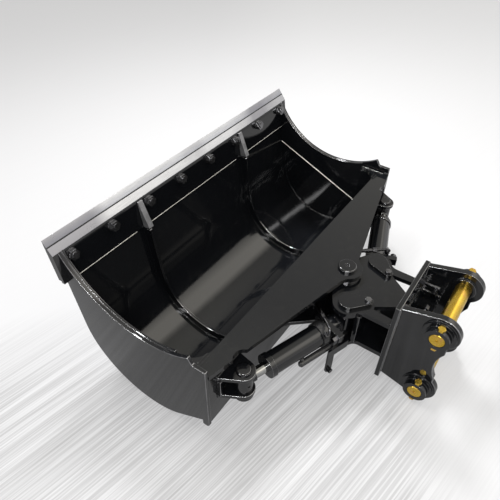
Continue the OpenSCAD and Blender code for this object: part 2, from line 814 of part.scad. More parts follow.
// Headstock plate and what stands on it
head_low = head_rise - head_h;
module headstock_plate() {
    color("#1b1c1e") placed() translate([-head_w / 2, -head_y - head_t, head_low])
        cube([head_w, head_t, head_h]);
}
under_gusset_h = 33;
module under_gusset() {
    color("#161719") placed() along_x(-web_t / 2, web_t / 2) polygon([
        [-head_y, knuckle_low], [-head_y, knuckle_low - under_gusset_h],
        [-head_y + 2 * under_gusset_h, knuckle_low]
    ]);
}
ear_y0 = -head_y - head_t;
ear_top_z = head_rise;
ear_foot_gap = 24;
ear_bottom_z = head_low + ear_foot_gap;
ear_waist = 33;
ear_scoop_r = 120;
ear_scoop_depth = 15;
ear_scoop_drop = 6;
ear_scoop_z = (upper_pin_c.y + lower_pin_c.y) / 2 - ear_scoop_drop;
module ear_outline() {
    difference() {
        polygon([
            [ear_y0, ear_top_z],
            touch([ear_y0, ear_top_z], upper_pin_c, ear_r, 1),
            upper_pin_c,
            [-pin_y - ear_waist, upper_pin_c.y], [-pin_y - ear_waist, lower_pin_c.y],
            lower_pin_c,
            touch([ear_y0, ear_bottom_z], lower_pin_c, ear_r, -1),
            [ear_y0, ear_bottom_z]
        ]);
        translate([-pin_y - ear_waist - ear_scoop_r + ear_scoop_depth, ear_scoop_z]) circle(r = ear_scoop_r);
    }
}
module at_pins() {
    for (c = [upper_pin_c, lower_pin_c]) translate([0, c.x, c.y]) children();
}
module pin_bores() {
    at_pins() rotate([0, 90, 0]) cylinder(d = pin_d + 2 * run_fit, h = 2 * pin_len, center = true);
}
module ear() {
    color("#1b1c1e") difference() {
        along_x(ear_in, ear_out) {
            ear_outline();
            translate(upper_pin_c) circle(r = ear_r);
            translate(lower_pin_c) circle(r = ear_r);
        }
        pin_bores();
    }
}
module ear_left() { placed() mirror([1, 0, 0]) ear(); }
module ear_right() { placed() ear(); }
lock_x = boss_out - boss_len / 2;
module at_locks() {
    for (side = [-1, 1], c = [upper_pin_c, lower_pin_c])
        translate([side * lock_x, c.x, c.y]) children();
}
module lock_holes() {
    at_locks() cylinder(d = lock_d + 2 * bolt_fit, h = 3 * boss_r, center = true);
}
module ear_bosses() {
    color("#1b1c1e") placed() difference() {
        both_sides() at_pins() rotate([0, 90, 0]) {
            translate([0, 0, ear_out]) cylinder(r = boss_base_r, h = boss_base_t);
            translate([0, 0, ear_out + boss_base_t]) cylinder(r = boss_r, h = boss_len);
        }
        pin_bores();
        lock_holes();
    }
}
module inner_rings() {
    color("#1b1c1e") placed() difference() {
        both_sides() at_pins() rotate([0, 90, 0])
            translate([0, 0, ear_in - inner_ring_t]) cylinder(r = boss_r, h = inner_ring_t);
        pin_bores();
    }
}
pin_chamfer = 2;
pin_well_r = 3;
pin_well_depth = 10;
module hitch_pin(c) {
    color("#c79a35") placed() difference() {
        translate([-boss_out, c.x, c.y]) rotate([0, 90, 0]) rotate_extrude() polygon([
            [0, 0], [pin_d / 2 - pin_chamfer, 0], [pin_d / 2, pin_chamfer],
            [pin_d / 2, pin_len - pin_chamfer], [pin_d / 2 - pin_chamfer, pin_len], [0, pin_len]
        ]);
        translate([0, c.x, c.y]) both_sides()
            translate([boss_out - pin_well_depth, 0, 0]) rotate([0, 90, 0])
                cylinder(r = pin_well_r, h = pin_well_depth + cut);
        lock_holes();
    }
}
module upper_pin() { hitch_pin(upper_pin_c); }
module lower_pin() { hitch_pin(lower_pin_c); }
lock_af = 19;
lock_head = 8;
// Turns a hexagon's flats towards the ears
hex_turn = 30;
module lock_bolts() {
    color("#d8b13c") placed() at_locks() rotate(hex_turn) {
        cylinder(d = lock_d, h = 2 * boss_r + 2 * lock_head, center = true);
        translate([0, 0, boss_r]) hex_prism(lock_af, lock_head);
        translate([0, 0, -boss_r - lock_head]) hex_prism(lock_af, lock_head);
    }
}
shelf_depth = 68;
shelf_z = -40;
module ear_shelf() {
    color("#1b1c1e") placed() translate([-ear_in, ear_y0 - shelf_depth, shelf_z - web_t])
        cube([2 * ear_in, shelf_depth, web_t]);
}

// Rigid oil tubes inside the knuckle and the elbows behind the headstock plate
flange_nut_h = 12;
module hitch_tubes() {
    span = head_y - web_y - web_t;
    color("#6d7074") placed() at_hitch_tubes() {
        cylinder(d = hard_tube_d, h = span);
        hex_prism(tube_nut_af, flange_nut_h);
        translate([0, 0, span - flange_nut_h]) hex_prism(tube_nut_af, flange_nut_h);
    }
}
elbow_rise = 50;
elbow_leg = 34;
elbow_z = 15;
elbow_d = 11;
elbow_body_d = 15;
elbow_flange_af = 20;
elbow_nut_af = 17;
elbow_nut_h = 15;
module bulkhead_elbows() {
    color("#55585c") placed() for (side = [-1, 1])
        translate([side * bulkhead_x, ear_y0, elbow_z]) {
            rotate([90, 0, 0]) {
                hex_prism(elbow_flange_af, flange_nut_h);
                translate([0, 0, flange_nut_h / 2])
                    cylinder(d = elbow_d, h = elbow_rise - flange_nut_h / 2);
            }
            translate([0, -elbow_rise, 0]) rotate([0, -90 * side, 0]) {
                rotate([90, 0, 0]) cylinder(d = elbow_body_d, h = elbow_body_d, center = true);
                cylinder(d = elbow_d, h = elbow_leg);
                translate([0, 0, elbow_leg - elbow_nut_h / 2]) hex_prism(elbow_nut_af, elbow_nut_h);
            }
        }
}

// Tilt cylinders: s runs from the rod pin to the base pin, q towards the hitch
cyl_vector = base_c - rod_pin_c;
cyl_len = norm(cyl_vector);
module on_side(side) {
    placed() mirror([side < 0 ? 1 : 0, 0, 0])
        translate([rod_pin_c.x, rod_pin_c.y, -cyl_depth]) rotate(heading(cyl_vector)) children();
}
// Turns an outline in (q, z) into a solid that runs along s
module along_s(s0, s1) {
    translate([s0, 0, 0]) rotate([90, 0, 90]) linear_extrude(s1 - s0) children();
}
barrel_r = barrel_d / 2;
bore_r = barrel_r - barrel_wall;
gland_end = gland_s + gland_len;
barrel_end = cyl_len - base_s;
piston_len = 34;
piston_s = (gland_end + barrel_end) / 2;
neck_out = 6;
neck_wall = 4;
grease_well = 3;
module rod(side) {
    color("#c8cbce") on_side(side) difference() {
        union() {
            translate([0, 0, -eye_h / 2]) cylinder(r = eye_r, h = eye_h);
            rotate([0, 90, 0]) cylinder(d = rod_d + 2 * neck_wall, h = eye_r + neck_out);
            rotate([0, 90, 0]) cylinder(d = rod_d, h = piston_s);
        }
        cylinder(d = rod_pin_d + 2 * run_fit, h = eye_h + 2 * cut, center = true);
        rotate([-90, 0, 0]) translate([0, 0, eye_r - grease_well])
            cylinder(r = nipple_r, h = grease_well + cut);
    }
}
module rod_left() { rod(-1); }
module rod_right() { rod(1); }
module piston(side) {
    color("#8e9194") on_side(side) translate([piston_s, 0, 0]) rotate([0, 90, 0])
        cylinder(r = bore_r - run_fit, h = piston_len);
}
module piston_left() { piston(-1); }
module piston_right() { piston(1); }

gland_rim = 3;
module gland(side) {
    color("#1d1e20") on_side(side) translate([gland_s, 0, 0]) rotate([0, 90, 0]) difference() {
        cylinder(r = barrel_r + gland_rim, h = gland_len);
        translate([0, 0, -cut]) cylinder(d = rod_d + 2 * run_fit, h = gland_len + 2 * cut);
    }
}
module gland_left() { gland(-1); }
module gland_right() { gland(1); }
groove_back = 17;
groove_s = barrel_end - groove_back;
groove_w = 6;
groove_depth = 3;
barrel_floor = 20;
module barrel(side) {
    color("#1b1c1e") on_side(side) {
        difference() {
            rotate([0, 90, 0]) translate([0, 0, gland_end]) rotate_extrude() polygon([
                [0, 0], [barrel_r, 0],
                [barrel_r, groove_s - gland_end], [barrel_r - groove_depth, groove_s - gland_end],
                [barrel_r - groove_depth, groove_s - gland_end + groove_w],
                [barrel_r, groove_s - gland_end + groove_w],
                [barrel_r, barrel_end - gland_end - groove_depth],
                [barrel_r - groove_depth, barrel_end - gland_end],
                [0, barrel_end - gland_end]
            ]);
            rotate([0, 90, 0]) translate([0, 0, gland_end - cut])
                cylinder(r = bore_r, h = barrel_end - barrel_floor - gland_end + cut);
        }
        difference() {
            union() {
                translate([cyl_len, 0, -base_eye_h / 2]) cylinder(r = base_eye_r, h = base_eye_h);
                translate([barrel_end, -shank_w / 2, -shank_h / 2]) cube([base_s, shank_w, shank_h]);
            }
            translate([cyl_len, 0, 0])
                cylinder(d = base_bore_d, h = base_eye_h + 2 * cut, center = true);
        }
    }
}
shank_w = 34;
shank_h = 48;
base_bore_d = 30;
module barrel_left() { barrel(-1); }
module barrel_right() { barrel(1); }

// Valve block round the barrel near its base, with its guard, pipe and fittings
block_t = 20;
block_back = 91;
block_s = cyl_len - block_back;
block_wall = 5;
block_cover = 3;
block_in_q = -barrel_r - block_wall;
block_out_q = 50;
block_arm_q = 66;
block_arm_h = 26;
block_top = barrel_r + block_cover;
block_low = -50;
module valve_block(side) {
    color("#1b1c1e") on_side(side) along_s(block_s, block_s + block_t) difference() {
        polygon([
            [block_in_q, block_low], [block_out_q, block_low],
            [block_out_q, block_top - block_arm_h], [block_arm_q, block_top - block_arm_h],
            [block_arm_q, block_top], [block_in_q, block_top]
        ]);
        circle(r = barrel_r + run_fit);
    }
}
module valve_block_left() { valve_block(-1); }
module valve_block_right() { valve_block(1); }
guard_t = 6;
guard_top = -28;
guard_lip = 4;
guard_low = web_low + cyl_depth + guard_lip;
guard_back = 112;
guard_front = 32;
guard_s0 = cyl_len - guard_back;
guard_s1 = cyl_len - guard_front;
tongue_w = 26;
tongue_low = -126;
tongue_bolt_d = 16;
module valve_guard(side) {
    color("#1d1e20") on_side(side) {
        translate([0, block_out_q + guard_t, 0]) rotate([90, 0, 0]) {
            linear_extrude(guard_t) polygon([
                [guard_s0, guard_top], [guard_s1, guard_top],
                [guard_s1, guard_low], [guard_s0 + tongue_w - blend, guard_low],
                [guard_s0 + tongue_w - blend, tongue_low], [guard_s0 + blend, tongue_low],
                [guard_s0 + blend, guard_low], [guard_s0, guard_low]
            ]);
            translate([guard_s0 + tongue_w / 2, tongue_low, 0]) cylinder(d = tongue_w, h = guard_t);
        }
        translate([block_s, 0, guard_low])
            cube([guard_s1 - block_s - tongue_w / 2, block_out_q, block_low - guard_low]);
        translate([guard_s0 + tongue_w / 2, block_out_q + 2 * guard_t + tongue_bolt_d / 4, tongue_low])
            rotate([90, 0, 0]) hex_prism(tongue_bolt_d, guard_t + tongue_bolt_d / 4);
    }
}
module valve_guard_left() { valve_guard(-1); }
module valve_guard_right() { valve_guard(1); }
// The pipe runs from a port half way along the barrel to the block, low on the hitch side,
// and the collar that holds the riser goes round the barrel beside the block
pipe_angle = -45;
pipe_d = 20;
pipe_gap = 4.5;
pipe_off = barrel_r + pipe_d / 2 + pipe_gap;
pipe_reach = 120;
pipe_round = 4;
pipe_port_d = 16;
collar_t = 4;
collar_len = 28;
collar_r = barrel_r + collar_t;
module barrel_pipe(side) {
    color("#303235") on_side(side) {
        rotate([pipe_angle, 0, 0]) translate([block_s - pipe_reach, pipe_off, 0]) {
            rotate([0, 90, 0]) rotate_extrude() polygon([
                [0, 0], [pipe_d / 2 - pipe_round, 0], [pipe_d / 2, pipe_round],
                [pipe_d / 2, pipe_reach], [0, pipe_reach]
            ]);
            translate([pipe_port_d, 0, 0]) rotate([90, 0, 0])
                cylinder(d = pipe_port_d, h = pipe_off - barrel_r);
        }
        along_s(block_s - collar_len, block_s) difference() {
            circle(r = collar_r);
            circle(r = barrel_r + run_fit);
        }
    }
}
module barrel_pipe_left() { barrel_pipe(-1); }
module barrel_pipe_right() { barrel_pipe(1); }

// Oil connection that rises from the collar, bends over the barrel and ends in a hose
riser_d = 7;
riser_back = 18;
riser_foot_h = 10;
riser_foot_af = 16;
riser_bend_r = 13;
riser_bend = 135;
riser_seat = 45;
riser_swing = 27;
riser_sink = 1;
// Distances from the end of the bend, along the hose
sleeve_d = 9;
sleeve_end = 60;
hose_nut_af = 16;
hose_nut_at = 36;
hose_nut_h = 12;
ferrule_d = 15;
ferrule_at = 54;
ferrule_len = 22;
hose_d = 12;
hose_at = 70;
hose_end = 100;
port_c = [54, 25];
port_len = 16;
port_d = 11.5;
port_nut_af = 18;
module hose_part(from, to, d) {
    translate([0, 0, from]) cylinder(d = d, h = to - from);
}
module riser() {
    translate([0, 0, collar_r + slip_gap]) hex_prism(riser_foot_af, riser_foot_h);
    translate([0, -riser_bend_r, collar_r + riser_foot_h - riser_sink]) rotate([90, 0, 90]) {
        rotate_extrude(angle = riser_bend) translate([riser_bend_r, 0]) circle(d = riser_d);
        rotate(riser_bend) translate([riser_bend_r, 0, 0]) rotate([-90, 0, 0]) {
            hose_part(-riser_sink, sleeve_end, sleeve_d);
            translate([0, 0, hose_nut_at]) hex_prism(hose_nut_af, hose_nut_h);
            hose_part(ferrule_at, ferrule_at + ferrule_len, ferrule_d);
            hose_part(hose_at, hose_end, hose_d);
        }
    }
}
module valve_fittings(side) {
    color("#55585c") on_side(side) {
        translate([block_s - riser_back, 0, 0]) rotate([-riser_seat, 0, 0]) rotate(riser_swing) riser();
        translate([block_s - port_len, port_c.x, port_c.y]) rotate([0, 90, 0]) difference() {
            hex_prism(port_nut_af, port_len);
            translate([0, 0, -cut]) cylinder(d = port_d, h = port_len + cut);
        }
    }
}
module valve_fittings_left() { valve_fittings(-1); }
module valve_fittings_right() { valve_fittings(1); }

side_plate_left();
side_plate_right();
side_doubler_left();
side_doubler_right();
shell();
rear_wall();
top_plate();
lip_plate();
cutting_edge();
edge_bolts();
inner_rib_left();
inner_rib_right();
lip_bars();
bracket_upper_lugs();
bracket_lower_lugs();
bracket_gussets();
rod_pins();
pivot_pin();
pivot_keeper();
thrust_washers();
lower_pivot_plate();
pivot_gussets();
bucket_nipples();
knuckle_top_plate();
knuckle_bottom_plate();
cross_web();
centre_web();
pivot_tube();
pivot_bushes();
base_pins();
base_pin_feet();
flag_bolts();
headstock_plate();
under_gusset();
ear_left();
ear_right();
ear_bosses();
inner_rings();
upper_pin();
lower_pin();
lock_bolts();
ear_shelf();
hitch_tubes();
bulkhead_elbows();
rod_left();
rod_right();
piston_left();
piston_right();
barrel_left();
barrel_right();
gland_left();
gland_right();
valve_block_left();
valve_block_right();
valve_guard_left();
valve_guard_right();
barrel_pipe_left();
barrel_pipe_right();
valve_fittings_left();
valve_fittings_right();
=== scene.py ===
"""Looks of a tilting grading bucket: paint, ground steel, welds, stage, light and camera."""

import json
import logging
import math
from dataclasses import dataclass, field
from enum import Enum

import bmesh
import bpy
from mathutils import Matrix, Vector


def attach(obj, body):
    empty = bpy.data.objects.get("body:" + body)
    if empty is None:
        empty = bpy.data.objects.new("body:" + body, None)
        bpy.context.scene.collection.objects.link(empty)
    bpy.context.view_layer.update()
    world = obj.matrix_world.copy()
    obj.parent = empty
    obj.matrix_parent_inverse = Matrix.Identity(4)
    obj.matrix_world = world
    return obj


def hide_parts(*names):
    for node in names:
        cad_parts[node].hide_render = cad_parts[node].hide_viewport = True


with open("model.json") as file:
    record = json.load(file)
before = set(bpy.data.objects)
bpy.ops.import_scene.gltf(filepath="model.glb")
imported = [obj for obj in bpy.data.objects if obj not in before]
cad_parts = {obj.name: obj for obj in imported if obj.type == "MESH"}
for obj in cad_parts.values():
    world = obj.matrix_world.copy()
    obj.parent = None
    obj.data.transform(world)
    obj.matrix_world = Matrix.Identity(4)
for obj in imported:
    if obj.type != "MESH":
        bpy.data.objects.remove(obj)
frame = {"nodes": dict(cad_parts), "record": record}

log = logging.getLogger("bucket")
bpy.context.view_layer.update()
MM = 0.001
Colour = tuple[float, float, float]
Place = tuple[float, float, float]
Span = tuple[float, float]


class Body(Enum):
    """The bodies that a piece can ride on."""

    BUCKET = "bucket"
    HITCH = "hitch"
    ROD_LEFT = "rod_left"
    ROD_RIGHT = "rod_right"
    BARREL_LEFT = "barrel_left"
    BARREL_RIGHT = "barrel_right"


class Side(Enum):
    """The two sides of the bucket, by the sign of X."""

    LEFT = -1
    RIGHT = 1

    @property
    def label(self) -> str:
        """Returns the side's word in the pieces' names."""
        return self.name.lower()


@dataclass(frozen=True)
class BucketFrame:
    """The bucket's own frame, in millimetres from the tilt axis at the top plate."""

    lean: float = math.radians(4.838484)
    shift_y: float = -122.8402
    shift_z: float = 302.3036
    front_lean: float = math.radians(8.63)
    rear_slope: float = math.radians(34.2)
    bottom: Span = (360.0, -93.0)
    bottom_r: float = 240.0
    lip_v: float = 186.0
    rear_inner_y: float = 124.5

    def turn(self) -> Matrix:
        """Returns the turn from the bucket's frame to the model's."""
        return Matrix.Rotation(self.lean, 3, "X")

    def at(self, x: float, y: float, z: float) -> Vector:
        """Returns a point of the bucket's frame in the model's frame, in metres."""
        return (self.turn() @ Vector((x, y, z)) + Vector((0.0, self.shift_y, self.shift_z))) * MM

    def way(self, x: float, y: float, z: float) -> Vector:
        """Returns a direction of the bucket's frame in the model's frame."""
        return self.turn() @ Vector((x, y, z))

    def front_axes(self) -> tuple[Span, Span]:
        """Returns the ways out of the front wall and up along it, as y and z."""
        c, s = math.cos(self.front_lean), math.sin(self.front_lean)
        return (c, -s), (s, c)

    def front(self, x: float, u: float, v: float) -> Vector:
        """Returns a point of the front wall, u outwards and v up from its foot."""
        out, up = self.front_axes()
        foot = (self.bottom[0] + self.bottom_r * out[0], self.bottom[1] + self.bottom_r * out[1])
        return self.at(x, foot[0] + u * out[0] + v * up[0], foot[1] + u * out[1] + v * up[1])

    def front_way(self, u: float, v: float) -> Vector:
        """Returns a direction of the front wall."""
        out, up = self.front_axes()
        return self.way(0.0, u * out[0] + v * up[0], u * out[1] + v * up[1])

    def bowl(self, depth: float, x: float, steps: int = 28) -> list[Place]:
        """Returns points down the inside of the bowl, from the front wall to the rear wall.

        Args:
            depth: distance inside the shell's outer face.
            x: distance from the middle.
            steps: points round the rolled bottom.

        Returns:
            Points in the bucket's frame, in millimetres.
        """
        cy, cz = self.bottom
        r = self.bottom_r - depth
        out, up = self.front_axes()
        start = (cy + r * out[0], cz + r * out[1])
        points = [(x, start[0] + self.lip_v * up[0], start[1] + self.lip_v * up[1])]
        sweep = math.pi / 2 + self.rear_slope - self.front_lean
        for i in range(steps + 1):
            a = -self.front_lean - sweep * i / steps
            points.append((x, cy + r * math.cos(a), cz + r * math.sin(a)))
        last = points[-1]
        rise = (last[1] - self.rear_inner_y) * math.tan(self.rear_slope)
        points.append((x, self.rear_inner_y, last[2] + rise))
        return points


BUCKET = BucketFrame()


# Shader maths


class Value:
    """An output socket with arithmetic, where each operation adds a Math node."""

    def __init__(self, graph: "Graph", socket: bpy.types.NodeSocket | None) -> None:
        """Wraps a socket.

        Args:
            graph: the node tree that the socket belongs to.
            socket: the output socket.
        """
        self.graph = graph
        self.socket = socket

    def _math(self, operation: str, *values: "Value | float") -> "Value":
        """Adds a Math node.

        Args:
            operation: the node's operation.
            values: its inputs, in order.

        Returns:
            The node's output.
        """
        return self.graph.add("ShaderNodeMath", {"operation": operation}, dict(enumerate(values)))

    def __add__(self, other: "Value | float") -> "Value":
        """Returns self + other."""
        return self._math("ADD", self, other)

    __radd__ = __add__

    def __sub__(self, other: "Value | float") -> "Value":
        """Returns self - other."""
        return self._math("SUBTRACT", self, other)

    def __rsub__(self, other: "Value | float") -> "Value":
        """Returns other - self."""
        return self._math("SUBTRACT", other, self)

    def __mul__(self, other: "Value | float") -> "Value":
        """Returns self * other."""
        return self._math("MULTIPLY", self, other)

    __rmul__ = __mul__

    def __abs__(self) -> "Value":
        """Returns the absolute value."""
        return self._math("ABSOLUTE", self)

    def __lt__(self, other: "Value | float") -> "Value":
        """Returns 1 where self is less than other, else 0."""
        return self._math("LESS_THAN", self, other)

    def __gt__(self, other: "Value | float") -> "Value":
        """Returns 1 where self is more than other, else 0; this also serves other < self."""
        return self._math("GREATER_THAN", self, other)

    def ramp(self, low: float, high: float, to_low: float = 0.0, to_high: float = 1.0) -> "Value":
        """Maps a range onto another and clamps it.

        Args:
            low: the value that becomes to_low.
            high: the value that becomes to_high.
            to_low: the result at low.
            to_high: the result at high.

        Returns:
            The mapped value.
        """
        return self.graph.add(
            "ShaderNodeMapRange",
            {"clamp": True},
            {"Value": self, "From Min": low, "From Max": high, "To Min": to_low, "To Max": to_high},
        )


@dataclass(frozen=True)
class Grain:
    """A noise: its scale, its octaves and their weight, and how its place is turned and stretched."""

    scale: float
    detail: float = 3.0
    rough: float = 0.5
    stretch: Place | None = None
    turn: float = 0.0


class Graph:
    """The node tree of a material or of the world."""

    def __init__(self, owner: bpy.types.Material | bpy.types.World) -> None:
        """Empties the node tree.

        Args:
            owner: the material or world that the tree belongs to.
        """
        owner.use_nodes = True
        self.owner = owner
        self.tree = owner.node_tree
        self.tree.nodes.clear()

    def add(
        self,
        kind: str,
        settings: dict[str, object] | None = None,
        inputs: dict[str | int, "Value | float | tuple"] | None = None,
        out: str | int = 0,
    ) -> Value:
        """Adds a node.

        Args:
            kind: the node's type.
            settings: attributes set first; "stops" holds a colour ramp's (place, colour) pairs.
            inputs: constants or links for its sockets.
            out: the output wanted.

        Returns:
            That output.
        """
        node = self.tree.nodes.new(kind)
        for key, value in (settings or {}).items():
            if key == "stops":
                ramp = node.color_ramp
                while len(ramp.elements) > 1:
                    ramp.elements.remove(ramp.elements[-1])
                for i, (place, colour) in enumerate(value):
                    stop = ramp.elements[0] if i == 0 else ramp.elements.new(place)
                    stop.position = place
                    stop.color = (*colour, 1.0)
            else:
                setattr(node, key, value)
        for key, value in (inputs or {}).items():
            if isinstance(value, Value):
                self.tree.links.new(value.socket, node.inputs[key])
            else:
                node.inputs[key].default_value = value
        return Value(self, node.outputs[out] if node.outputs else None)

    def place(self) -> Value:
        """Returns the point's place in the object's own frame, which moves with it."""
        return self.add("ShaderNodeTexCoord", out="Object")

    def dot(self, vector: Value, axis: Place) -> Value:
        """Returns how far a vector reaches along an axis."""
        return self.add("ShaderNodeVectorMath", {"operation": "DOT_PRODUCT"}, {0: vector, 1: axis}, out=1)

    def noise(self, place: Value, grain: Grain) -> Value:
        """Adds a noise texture.

        Args:
            place: the place it reads.
            grain: its size and stretch.

        Returns:
            The noise, from 0 to 1.
        """
        if grain.stretch is not None:
            turn = {"Vector": place, "Rotation": (0.0, 0.0, grain.turn)}
            turned = self.add("ShaderNodeMapping", inputs=turn)
            place = self.add("ShaderNodeMapping", inputs={"Vector": turned, "Scale": grain.stretch})
        sockets = {"Vector": place, "Scale": grain.scale, "Detail": grain.detail, "Roughness": grain.rough}
        return self.add("ShaderNodeTexNoise", inputs=sockets)

    def mix(self, share: Value | float, low: Value | Colour, high: Value | Colour) -> Value:
        """Mixes two colours.

        Args:
            share: the share of high.
            low: a colour.
            high: a colour.

        Returns:
            The mixed colour.
        """
        return self.add(
            "ShaderNodeMix",
            {"data_type": "RGBA"},
            {
                0: share,
                6: low if isinstance(low, Value) else (*low, 1.0),
                7: high if isinstance(high, Value) else (*high, 1.0),
            },
            out=2,
        )

    def bump(self, height: Value, strength: float, distance: float, normal: Value | None = None) -> Value:
        """Adds a bump.

        Args:
            height: its height.
            strength: its strength.
            distance: the height of 1, in metres.
            normal: a normal to add to.

        Returns:
            The bumped normal.
        """
        inputs: dict[str | int, Value | float | tuple] = {
            "Height": height,
            "Strength": strength,
            "Distance": distance,
        }
        if normal is not None:
            inputs["Normal"] = normal
        return self.add("ShaderNodeBump", inputs=inputs)

    def surface(self, **inputs: Value | float | tuple) -> bpy.types.Material:
        """Closes the tree with a Principled surface.

        Args:
            inputs: its sockets, with underscores for spaces.

        Returns:
            The finished material.
        """
        named = {key.replace("_", " "): value for key, value in inputs.items()}
        shader = self.add("ShaderNodeBsdfPrincipled", inputs=named)
        self.add("ShaderNodeOutputMaterial", inputs={"Surface": shader})
        return self.owner


# Finishes


@dataclass(frozen=True)
class BlackCoat:
    """Glossy black powder coat with a faint orange peel."""

    name: str = "black_coat"
    colour: Colour = (0.0042, 0.0046, 0.0056)
    dusty: Colour = (0.0105, 0.0105, 0.0105)
    gloss: float = 0.045
    dull: float = 0.12
    peel: float = 0.05
    ior: float = 1.55
    cloud_grain: Grain = Grain(7.0, 4.0, 0.6)
    smear_grain: Grain = Grain(38.0, 5.0, 0.65, stretch=(1.0, 1.0, 0.35))
    peel_grain: Grain = Grain(420.0, 1.0, 0.3)
    sag_grain: Grain = Grain(16.0, 1.0, 0.4)
    peel_height: float = 0.0006
    sag: float = 0.10
    sag_height: float = 0.0012

    def build(self) -> bpy.types.Material:
        """Returns the material."""
        g = Graph(bpy.data.materials.new(self.name))
        place = g.place()
        smear = g.noise(place, self.smear_grain)
        dust = smear.ramp(0.52, 0.80) * g.noise(place, self.cloud_grain).ramp(0.40, 0.75)
        peeled = g.bump(g.noise(place, self.peel_grain), self.peel, self.peel_height)
        return g.surface(
            Base_Color=g.mix(dust, self.colour, self.dusty),
            Roughness=smear.ramp(0.30, 0.75, self.gloss, self.dull),
            Normal=g.bump(g.noise(place, self.sag_grain), self.sag, self.sag_height, peeled),
            IOR=self.ior,
        )


@dataclass(frozen=True)
class GroundEdge:
    """Black coat that is ground off to bright steel on the bevel plane of the cutting edge."""

    name: str
    coat: BlackCoat = BlackCoat()
    bevel: float = math.radians(28.2)
    tip_u: float = 7.0
    tip_v: float = 335.3
    joint_u: float = -5.0
    depth: float = 0.0007
    ragged: float = 0.0004
    joint_half: float = 0.0009
    dark: Colour = (0.50, 0.51, 0.54)
    light: Colour = (0.82, 0.83, 0.86)
    # Colour of the darker patches along the bevel: painted reflection, dimmer in stretches.
    burnt: Colour = (0.34, 0.34, 0.37)
    steel_rough: Span = (0.24, 0.40)
    rim_grain: Grain = Grain(260.0, 3.0, stretch=(0.3, 1.0, 1.0))
    line_grain: Grain = Grain(4.0, 4.0, 0.7, stretch=(5.0, 420.0, 420.0))
    patch_grain: Grain = Grain(22.0, 3.0)
    burnt_grain: Grain = Grain(1.0, 2.0, 0.4, stretch=(4.2, 0.8, 0.8))
    line_bump: float = 0.35
    line_height: float = 0.0005

    def off(self, g: Graph, place: Value, way: Vector, u: float) -> Value:
        """Returns the distance from a plane through a point of the tip's line.

        Args:
            g: the material's graph.
            place: the point's place.
            way: the plane's normal.
            u: the point's distance out of the front wall.

        Returns:
            The distance in metres.
        """
        normal = way.normalized()
        return abs(g.dot(place, tuple(normal)) - normal.dot(BUCKET.front(0.0, u, self.tip_v)))

    def build(self) -> bpy.types.Material:
        """Returns the material."""
        g = Graph(bpy.data.materials.new(self.name))
        place = g.place()
        slope = BUCKET.front_way(-math.cos(self.bevel), math.sin(self.bevel))
        outwards = BUCKET.front_way(1.0, 0.0)
        ragged = g.noise(place, self.rim_grain) * self.ragged
        ground = self.off(g, place, slope, self.tip_u) < (ragged + self.depth)
        joint = self.off(g, place, outwards, self.joint_u) < (self.joint_half + ragged * 0.3)
        bare = ground * (1 - joint)
        lines = g.noise(place, self.line_grain)
        peel = g.noise(place, self.coat.peel_grain)
        steel = g.mix(lines.ramp(0.3, 0.7), self.dark, self.light)
        # Darker grey patches along the bevel's length: painted reflection that is dimmer in stretches of the
        # ground steel.
        steel = g.mix(g.noise(place, self.burnt_grain).ramp(0.46, 0.62), steel, self.burnt)
        height = g.add("ShaderNodeMix", {"data_type": "FLOAT"}, {0: bare, 2: peel * 0.2, 3: lines})
        worn = g.noise(place, self.patch_grain).ramp(0.3, 0.7, *self.steel_rough)
        return g.surface(
            Base_Color=g.mix(bare, self.coat.colour, steel),
            Roughness=bare * (worn - self.coat.gloss) + self.coat.gloss,
            Metallic=bare,
            Normal=g.bump(height, self.line_bump, self.line_height),
            IOR=self.coat.ior,
        )


@dataclass(frozen=True)
class Plated:
    """A bright plated or machined metal."""

    name: str
    low: Colour
    high: Colour
    smooth: float
    rough: float
    metallic: float = 1.0
    tint: Colour | None = None
    tint_share: float = 0.55
    turned: float = 0.15
    turned_height: float = 0.0003
    cloud_grain: Grain = Grain(30.0, 4.0, 0.6)
    turned_grain: Grain = Grain(1.6, 3.0, 0.6, stretch=(900.0, 60.0, 60.0))
    pit_grain: Grain = Grain(650.0, 2.0, 0.6)
    blush_grain: Grain = Grain(55.0, 2.0, 0.5)

    def build(self) -> bpy.types.Material:
        """Returns the material."""
        g = Graph(bpy.data.materials.new(self.name))
        place = g.place()
        fine = g.noise(place, self.turned_grain)
        pits = g.noise(place, self.pit_grain)
        colour = g.mix(g.noise(place, self.cloud_grain).ramp(0.3, 0.7), self.low, self.high)
        if self.tint is not None:
            blush = g.noise(place, self.blush_grain).ramp(0.52, 0.72, 0.0, self.tint_share)
            colour = g.mix(blush, colour, self.tint)
        return g.surface(
            Base_Color=colour,
            Roughness=pits.ramp(0.25, 0.75, self.smooth, self.rough),
            Metallic=self.metallic,
            Normal=g.bump(fine * 0.6 + pits * 0.4, self.turned, self.turned_height),
        )


